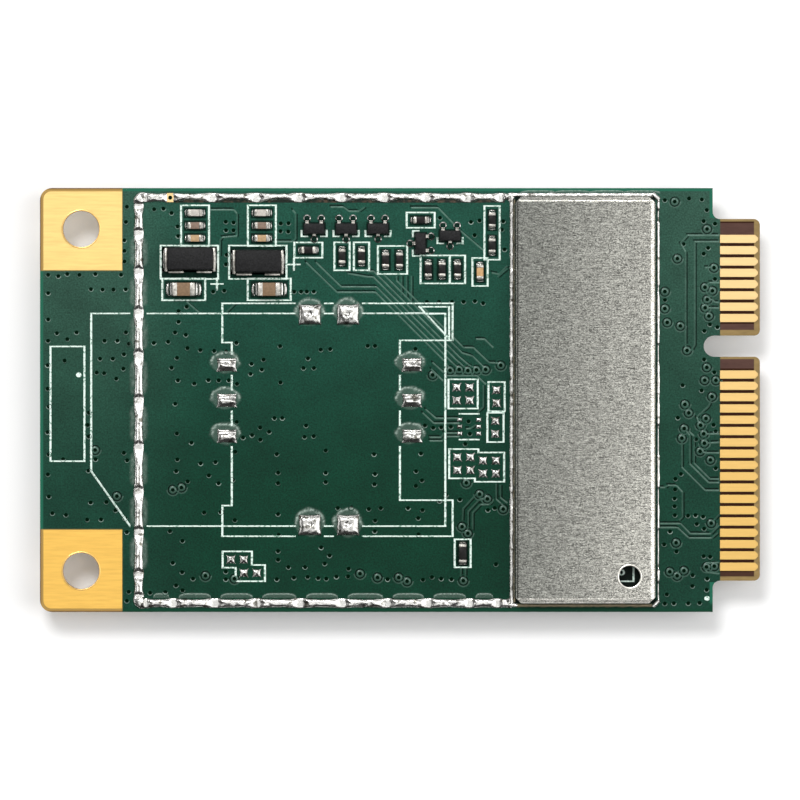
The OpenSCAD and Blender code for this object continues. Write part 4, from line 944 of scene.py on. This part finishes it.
def add_film(shape, middle, size, layer, veil, cells=24):
    """A thin skin on the board; veil(across, along) says how strongly it shows, from 0 to 1."""
    for corner in bmesh.ops.create_grid(shape, x_segments=cells, y_segments=cells, size=1.0)["verts"]:
        across, along = corner.co.xy
        corner[layer] = max(veil(across, along), 0)
        corner.co = (middle[0] + across * size[0] / 2, middle[1] + along * size[1] / 2, BOARD_TOP + FILM_H)


def halo(seed):
    """Strongest in a ragged rim above the pad."""
    def veil(across, along):
        reach = math.hypot(across, along) + 0.12 * wobble(across, along, 0.5, seed)
        rim = math.exp(-((reach - 0.82) / 0.08) ** 2) * ease((along + 0.3) / 0.5)
        broken = 0.7 + 1.1 * wobble(across, along, 0.13, seed + 5)
        return 0.8 * rim * broken + 0.13 * ease((0.88 - reach) / 0.15)
    return veil


def arch(seed):
    """A broken pale line that bends down at both ends, over a faint skin."""
    def veil(across, along):
        line = 0.55 - 1.2 * across ** 6
        broken = 0.7 + 0.9 * wobble(across, along, 0.12, seed)
        return 0.8 * math.exp(-((along - line) / 0.26) ** 2) * broken + 0.12 * ease((line - along) / 0.4)
    return veil


def haze(seed):
    """A faint uneven cloud, blunt at both ends."""
    def veil(across, along):
        inside = ease((1 - math.hypot(across, along ** 3)) / 0.4)
        return 0.19 * inside * (1 + wobble(across, along, 0.2, seed))
    return veil


residue = bmesh.new()
shows = residue.verts.layers.float.new("veil")
for i, (px, py) in enumerate(side_pads):
    middle = (px + SIDE_HALO_SHIFT[0], py + SIDE_HALO_SHIFT[1])
    add_film(residue, middle, SIDE_HALO, shows, halo(i), HALO_CELLS)
for i, (px, py) in enumerate(end_tabs):
    add_film(residue, (px, py + END_HALO_UP), END_HALO, shows, halo(10 + i), HALO_CELLS)
for first, last in zip(left_pads, left_pads[1:]):
    middle = (first + last) / 2
    add_film(residue, (TRACK_X, middle), (HAZE_W, last - first - HAZE_GAP), shows, haze(middle))
for first, last in zip([LOW_ARCH_START] + low_pads, low_pads):
    size = (last - first - LOW_ARCH_GAP, LOW_ARCH_W)
    add_film(residue, ((first + last) / 2, LOW_ARCH_Y), size, shows, arch(last))
for first in TOP_ARCH_STARTS:
    add_film(residue, (first + TOP_ARCH_RIGHT, TOP_ARCH_Y), TOP_ARCH, shows, arch(first))
flux, place = start_finish("flux_residue")
veil = place.node("Attribute", {"attribute_name": "veil"}, {}, "Fac")
clear = veil * (0.35 + 0.9 * grain(place, 6.0, 3.0))
set_finish(flux, Base_Color=srgb(176, 196, 184), Roughness=0.3, Alpha=clear)
end_piece(residue, "flux_residue_film", [flux])


# Chip parts and their solder
# Capacitors, resistors and a diode with plated ends, each in a window of the mask that shows laminate,
# painted dark as the shade round the part.
# Their solder has drawn up the end faces a little and stands in a rim at the pads' outer edges.

JOINT_T = 0.04
WINDOW_H = 0.006
WINDOW_BEVEL = 0.002


def add_block(shape, middle, size, bevel, index, segments=2, taper=(1.0, 1.0)):
    """A block with rounded edges; its upper face may be smaller."""
    block = bmesh.ops.create_cube(shape, size=1)["verts"]
    for corner in [v for v in block if v.co.z > 0]:
        corner.co.x *= taper[0]
        corner.co.y *= taper[1]
    bmesh.ops.scale(shape, vec=size, verts=block)
    edges = list({edge for corner in block for edge in corner.link_edges})
    verts = round_edges(shape, edges, bevel, segments)["verts"]
    bmesh.ops.translate(shape, vec=middle, verts=verts)
    for face in {f for v in verts for f in v.link_faces}:
        face.material_index = index
    return verts


def set_down(shape, verts, spot):
    """Turn a part about its own middle and set it at its place on the board."""
    centre, turn = spot
    bmesh.ops.rotate(shape, cent=(0, 0, 0), matrix=Matrix.Rotation(math.radians(turn), 3, "Z"), verts=verts)
    bmesh.ops.translate(shape, vec=(*centre, BOARD_TOP), verts=verts)


def chip_shape(spot, size, end):
    """A chip part with its two plated ends: body 0, ends 1."""
    length, width, height = size
    shape = bmesh.new()
    level = JOINT_T + height / 2
    verts = add_block(shape, (0, 0, level), (length - end, width - 0.03, height - 0.03), 0.03, 0)
    for side in (-1, 1):
        verts += add_block(shape, (side * (length - end) / 2, 0, level), (end, width, height), 0.05, 1, 3)
    set_down(shape, verts, spot)
    return shape


def around(spot, dx, dy):
    """A place beside a turned part."""
    (px, py), turn = spot
    angle = math.radians(turn)
    return (px + dx * math.cos(angle) - dy * math.sin(angle),
            py + dx * math.sin(angle) + dy * math.cos(angle))


shaded_mask_windows = bmesh.new()
chip_joints = bmesh.new()


def add_opening(spot, size):
    """Bare laminate in a window of the mask, round a turned part, painted dark as the part's shade."""
    outline = [around(spot, dx, dy) for dx, dy in rectangle((0, 0), size)]
    add_plate(shaded_mask_windows, outline, BOARD_TOP - SINK, BOARD_TOP + WINDOW_H, WINDOW_BEVEL)


def add_fillets(spot, length, width, reach, height, seed):
    """Solder beyond both ends of a part: high at the end face, with a raised rim at the pad's edge."""
    def fillet(side):
        def form(across, along):
            out = (along + 1) / 2
            rim = ease((out - 0.58) / 0.16) * ease((1.02 - out) / 0.2)
            dx = side * (length / 2 - 0.03 + (reach + 0.03) * out * (1 - 0.2 * across * across))
            dy = across * width / 2 * (1.06 - 0.12 * out * out)
            lumpy = 1 + 0.15 * wobble(across, out + side, 0.4, seed)
            lift = height * (1 - out) ** 8 + 0.09 * rim * (1 - 0.4 * across * across)
            return (*around(spot, dx, dy), lift * lumpy * (1 - across ** 8) * (1 - out ** 10))
        return form

    for side in (-1, 1):
        add_sheet(chip_joints, 8, 10, fillet(side))
    add_opening(spot, (length + 2 * reach + 0.1, width + 0.26))


plated = mottled("tinned_chip_ends", (164, 161, 154), (5.0, 2.2), (0.26, 0.2, 8.0), (0.015, 6.0),
                 Metallic=1.0)


def ceramic(name, colour, roughness=0.4):
    """A fired ceramic or glazed body."""
    return mottled(name, colour, (6.0, 0.8), (roughness, 0.15, 8.0), (0.006, 12.0), Specular_IOR_Level=0.16)


TRACK_CORNER = (-18.505, 14.30)
CHIP_END = 0.22
CHIP_REACH = 0.24
CAPACITOR = (1.0, 0.5, 0.5)
RESISTOR = (1.0, 0.5, 0.35)
DIODE = (1.3, 0.55, 0.45)
BULK = (1.62, 0.96, 0.85)
BULK_END = 0.37


def from_corner(right, down, turn=0):
    """A part's place, measured from the track's upper left corner, and its turn in degrees."""
    return (TRACK_CORNER[0] + right, TRACK_CORNER[1] - down), turn


def add_chip(name, node, body, spot, size, climb, seed, end=CHIP_END, reach=CHIP_REACH):
    """A chip part in place of its CAD node, and its fillets, which climb so far up its end faces."""
    end_piece(chip_shape(spot, size, end), name, [body, plated], [node])
    add_fillets(spot, size[0], size[1], reach, climb, seed)


cap_bodies = [ceramic("ceramic_pale", (190, 184, 176)), ceramic("ceramic_grey_brown", (132, 112, 98)),
              ceramic("ceramic_tan", (180, 150, 114))]
for i in range(6):
    spot = from_corner((4, 8.73)[i // 3], 1.06 + 0.9 * (i % 3))
    add_chip(f"ceramic_capacitor_{i + 1}", f"decoupling_capacitor_{i + 1}", cap_bodies[i % 3],
             spot, CAPACITOR, climb=0.2, seed=i)

resistor_black = ceramic("resistor_glaze", (17, 15, 14), 0.3)
resistors = [(12.02, 3.69, 0), (14.4, 4.13, 90), (15.78, 4.13, 90), (17.48, 4.39, 90), (18.47, 4.39, 90),
             (19.97, 1.57, 0), (20.5, 5.06, 90), (21.48, 5.06, 90), (22.57, 5.06, 90), (25.02, 1.56, 90),
             (25.02, 3.38, 90)]
for i, row in enumerate(resistors):
    add_chip(f"chip_resistor_{i + 1}", f"resistor_{i + 1}", resistor_black,
             from_corner(*row), RESISTOR, climb=0.16, seed=10 + i)

add_chip("feed_chip_capacitor", "feed_capacitor", ceramic("ceramic_feed", (194, 156, 110)),
         from_corner(24.17, 5.24, 90), CAPACITOR, climb=0.2, seed=25)
add_chip("protection_diode_chip", "protection_diode", resistor_black,
         ((4.435, -10.85), 90), DIODE, climb=0.16, seed=26, reach=0.2)

brown_ceramic = ceramic("ceramic_brown", (128, 104, 80))
for side, right in (("left", 3.2), ("right", 9.25)):
    add_chip(f"bulk_chip_capacitor_{side}", f"bulk_capacitor_{side}", brown_ceramic,
             from_corner(right, 6.47), BULK, climb=0.3, seed=int(right), end=BULK_END, reach=0.46)


# Tantalum capacitors
# A moulded black case with tapered sides over a tin plate bent round each end.
# The plate shows beside the case at its lower corners, on the solder. The left case sits a little high.

CASE_SIZE = (3.26, 1.64, 1.1)
CASE_TAPER = (0.97, 0.93)
CASE_SHIFT = (0.05, 0.07)
END_PLATE = (0.22, 1.7, 0.5)
END_PLATE_OUT = 1.7
LOWER_STRIP = (1.1, 0.17, 0.1)
LOWER_STRIP_Y = -0.86
PLATE_RIGHT = 0.03
TANTALUM_DOWN = 4.55
LEFT_CASE_DOWN = 4.38
TANTALUM_WINDOW = (3.98, 2.2)

moulded = mottled("moulded_black_case", (24, 24, 25), (9.0, 3.4), (0.42, 0.2, 6.0), (0.012, 9.0, 3.0),
                  Specular_IOR_Level=0.16)
for side, right, down in (("left", 3.62, LEFT_CASE_DOWN), ("right", 8.44, TANTALUM_DOWN)):
    spot = from_corner(right, down)
    case = bmesh.new()
    middle = (*CASE_SHIFT, JOINT_T + CASE_SIZE[2] / 2)
    verts = add_block(case, middle, CASE_SIZE, 0.07, 0, 3, CASE_TAPER)
    for end in (-1, 1):
        middle = (PLATE_RIGHT + end * END_PLATE_OUT, 0, JOINT_T + END_PLATE[2] / 2)
        verts += add_block(case, middle, END_PLATE, 0.06, 1)
        middle = (PLATE_RIGHT + end, LOWER_STRIP_Y, JOINT_T + LOWER_STRIP[2] / 2)
        verts += add_block(case, middle, LOWER_STRIP, 0.04, 1)
    set_down(case, verts, spot)
    add_opening(from_corner(right, TANTALUM_DOWN), TANTALUM_WINDOW)
    end_piece(case, f"tantalum_case_{side}", [moulded, plated],
              [f"tantalum_capacitor_{side}"])
    add_fillets(spot, length=3.4, width=1.5, reach=0.2, height=0.12, seed=30 + int(right))


# Transistors
# Small moulded cases with three bent leads, two on one side and one on the other.
# Each lead's foot stands in a round of solder with a bright rim; the middle of the round is painted dark as
# shade.

LEAD_PATH = [(0.36, 0.36), (0.5, 0.36), (0.58, 0.06), (0.74, 0.06)]
LEAD_W = 0.22
LEAD_T = 0.1
FOOT_Y = 0.73
BRIGHT, IN_SHADE = (0, 0), (1, 1)
FOOT_SOLDER = [(0.29, 0.0, BRIGHT), (0.27, 0.07, BRIGHT), (0.2, 0.08, BRIGHT), (0.16, 0.13, IN_SHADE),
               (0.08, 0.15, IN_SHADE)]
TRANSISTOR_WINDOW = (1.66, 0.96)
TRANSISTOR = (1.5, 0.8, 0.6)
TRANSISTOR_MIDDLE = (0, 0, JOINT_T + 0.35)
TRANSISTOR_TAPER = (0.96, 0.86)


def add_lead(shape, dx, side):
    """A flat lead drawn out of the case, bent down and out again."""
    start_y, start_z = LEAD_PATH[0]
    face = shape.faces.new([shape.verts.new((px, side * start_y, level))
                            for px, level in rectangle((dx, start_z), (LEAD_W, LEAD_T))])
    verts = list(face.verts)
    for (y0, z0), (y1, z1) in zip(LEAD_PATH, LEAD_PATH[1:]):
        grown = bmesh.ops.extrude_face_region(shape, geom=[face])["geom"]
        new = only(bmesh.types.BMVert, grown)
        bmesh.ops.translate(shape, vec=(0, side * (y1 - y0), z1 - z0), verts=new)
        face = only(bmesh.types.BMFace, grown)[0]
        verts += new
    for face in {f for v in verts for f in v.link_faces}:
        face.material_index = 1
    return verts


transistors = [(12.43, 2.18, 0), (14.69, 2.18, 0), (16.95, 2.18, 0), (19.96, 3.22, -90), (22.05, 2.68, 0)]
for i, row in enumerate(transistors):
    spot = from_corner(*row)
    case = bmesh.new()
    verts = add_block(case, TRANSISTOR_MIDDLE, TRANSISTOR, 0.04, 0, 2, TRANSISTOR_TAPER)
    for dx, side in ((-0.5, 1), (0.5, 1), (0, -1)):
        verts += add_lead(case, dx, side)
        add_dish(chip_joints, around(spot, dx, side * FOOT_Y), FOOT_SOLDER)
    add_opening(spot, TRANSISTOR_WINDOW)
    set_down(case, verts, spot)
    end_piece(case, f"transistor_case_{i + 1}", [moulded, plated], [f"transistor_{i + 1}"])

# The windows, painted dark as shade, and the joints of all the parts above.
bare_laminate_painted_shade = dark_mask("bare_laminate_painted_shade", low=0.16, span=0.3, roughness=0.6)
end_piece(shaded_mask_windows, "shaded_mask_windows", [bare_laminate_painted_shade])
fillet_solder = solder_finish("fillet_solder", tone=190, stain_size=0.2, stain_from=0.55)
end_piece(chip_joints, "chip_solder_fillets", [fillet_solder, shade_mask],
          ["chip_pad_solder"], sharp=75)


# Shield cans
# Two-piece cans of tin-plated sheet: a frame soldered to the board and a folded lid sprung over it.
# The rolled sheet has a fine grain along the card. It is painted paler towards the right as a painted
# reflection; its right and upper folds carry a painted highlight, and its lower fold is less metallic and
# painted pale.

FOLD_RIGHT = 17.69
FOLD_UPPER = 14.0
FOLD_LOWER = -14.02
sheet, place = start_finish("rolled_shield_sheet")
x, y, _ = axes(place)
streaks = 0.29 * grain(place, 15.0, 0.0, (0.2, 1, 1)) + 0.71 * grain(place, 20.0, 0.0, (0.05, 1, 1))
specks = grain(place, 30.0, 0.0, (0.5, 1, 1))
# paler: a painted reflection that brightens the sheet towards the right and the lower right.
paler = 0.5 * smooth(x - 0.06 * y, 6.0, 20.0) + 0.18 * smooth(x, 12.0, 17.5) * smooth(y, 0.0, -13.0)
fold_highlight = larger(beyond(x, FOLD_RIGHT, 0.07), beyond(y, FOLD_UPPER, 0.05))
lower_fold_matte_painted_pale = beyond(y, FOLD_LOWER, -0.04) * smooth(facing_up(place), 0.1, 0.3)
tone = mix(srgb(110, 111, 106), srgb(180, 178, 170), paler + 0.34 * fold_highlight + 0.8 * lower_fold_matte_painted_pale)
contrast = larger(1.7 * streaks + 4.5 * specks - 2.0, 0.2)
set_finish(sheet, Base_Color=tint(tone, contrast), Metallic=1 - 0.7 * lower_fold_matte_painted_pale,
           Roughness=0.2 + 0.14 * streaks, Normal=relief(streaks, 0.004))
dress(sheet, "shield_lid_front", "shield_lid_back", "shield_frame_front", "shield_frame_back")
dress(solder, "shield_solder_back")

# The view hole's drawn edge: a narrow round lip that catches the light.
VIEW_HOLE = (16.225, -12.48)
VIEW_HOLE_R = 0.78
_, (_, _, CAN_TOP) = node_box("shield_lid_front")
drawn_edge = [(-0.03, -0.1), (-0.02, -0.01), (0.03, 0.012), (0.08, 0.008), (0.11, -0.01), (0.02, -0.1)]
lip = bmesh.new()
add_ring(lip, VIEW_HOLE, [(VIEW_HOLE_R + out, CAN_TOP + lift) for out, lift in drawn_edge], 48)
burnished, place = start_finish("burnished_sheet_edge")
set_finish(burnished, Base_Color=tint(srgb(212, 209, 200), speckle(place, 6.0, 0.5)), Metallic=1.0,
           Roughness=0.3)
end_piece(lip, "view_hole_lip", [burnished])


# Chips under the cans
# Moulded packages on thin carriers, and a crystal in a metal cap. Only the view hole lets light in.

carrier = mottled("moulded_chip_package", (36, 36, 38), (5.0, 0.6), (0.5, 0.15, 6.0), (0.008, 9.0))
dress(carrier, "power_amplifier", "front_end_module", "baseband_processor", "memory_chip",
      "power_manager_chip", "radio_transceiver")
dress(plated, "reference_crystal")


# Antenna jacks on the lower face
# Stamped and plated shells with a snap groove, on pale moulded insulators, with a gold pin in the middle.

jack_gold = gold_finish("gold_antenna_jacks", srgb(228, 184, 100), srgb(232, 198, 135), scratches=0.15)
insulator = mottled("pale_moulded_insulator", (226, 220, 204), (4.0, 0.3), (0.5, 0.15, 7.0), (0.006, 9.0))
for i in (1, 2, 3):
    dress(jack_gold, f"antenna_jack_shell_{i}", f"antenna_jack_pin_{i}")
    dress(insulator, f"antenna_jack_insulator_{i}")


# Studio
# A pale floor under the card, a large soft light overhead and a key light beyond the card's upper side.
# A tall light at the right shows in the can's folded edge; weak strips stand at the other three sides.

FLOOR_Z = -0.00002
FLOOR_HALF = 2.0
floor_mesh = bpy.data.meshes.new("floor")
ground = bmesh.new()
bmesh.ops.create_grid(ground, x_segments=1, y_segments=1, size=FLOOR_HALF,
                      matrix=Matrix.Translation((0, 0, FLOOR_Z)))
ground.to_mesh(floor_mesh)
ground.free()
floor = add_object("floor", floor_mesh)
paper = bpy.data.materials.new("white_paper")
paper.use_nodes = True
set_finish(paper, Base_Color=(0.9, 0.9, 0.9, 1), Roughness=0.9, Specular_IOR_Level=0.0)
seen = Wire(paper.node_tree).node("LightPath", {}, {}, "Is Camera Ray")
for kind in ("Is Glossy Ray", "Is Transmission Ray"):
    seen = larger(seen, seen.node("LightPath", {}, {}, kind))
set_finish(paper, Emission_Color=tint((1.0, 1.0, 1.0), seen), Emission_Strength=0.08)
floor_mesh.materials.append(paper)


def soft_light(name, spot, target, size, radiance):
    """A rectangular lamp of this size in metres that shines at a point with this brightness."""
    lamp = bpy.data.lights.new(name, "AREA")
    lamp.shape = "RECTANGLE"
    lamp.size, lamp.size_y = size
    lamp.energy = radiance * math.pi * size[0] * size[1]
    holder = add_object(name, lamp)
    holder.location = spot
    holder.rotation_euler = (Vector(target) - Vector(spot)).to_track_quat("-Z", "Y").to_euler()


CARD_MIDDLE = (0, 0, 0.003)
soft_light("overhead_box", (0.0, 0.12, 0.9), CARD_MIDDLE, (1.0, 0.9), 0.8)
soft_light("key_box", (-0.16, 0.42, 0.86), CARD_MIDDLE, (0.3, 0.22), 21.0)
soft_light("right_box", (0.62, 0.0, 0.6), CARD_MIDDLE, (0.45, 1.1), 2.6)
soft_light("left_strip", (-0.85, 0.0, 0.36), CARD_MIDDLE, (0.5, 0.16), 3.0)
soft_light("far_strip", (0.0, 0.95, 0.42), CARD_MIDDLE, (0.9, 0.2), 2.5)
soft_light("near_strip", (0.0, -0.34, 0.84), CARD_MIDDLE, (0.4, 0.26), 1.6)

world = bpy.data.worlds.new("studio_room")
world.use_nodes = True
bpy.context.scene.world = world
direction = Wire(world.node_tree).node("TexCoord", {}, {}, "Generated")
_, ahead, _ = axes(direction)
backdrop = world.node_tree.nodes["Background"]
world.node_tree.links.new((0.05 + 0.3 * smooth(ahead, -0.5, 0.8)).socket, backdrop.inputs["Strength"])
backdrop.inputs["Color"].default_value = (1, 1, 1, 1)

CAMERA_Z = 0.7
VIEW_WIDTH = 0.056617
camera = bpy.data.cameras.new("camera")
camera.sensor_width = 36
camera.lens = camera.sensor_width * (CAMERA_Z - BOARD_TOP / 1000) / VIEW_WIDTH
camera.clip_start = 0.01
camera.clip_end = 10
eye = add_object("camera", camera)
eye.location = (0, 0, CAMERA_Z)
bpy.context.scene.camera = eye
bpy.context.scene.view_settings.view_transform = "Standard"
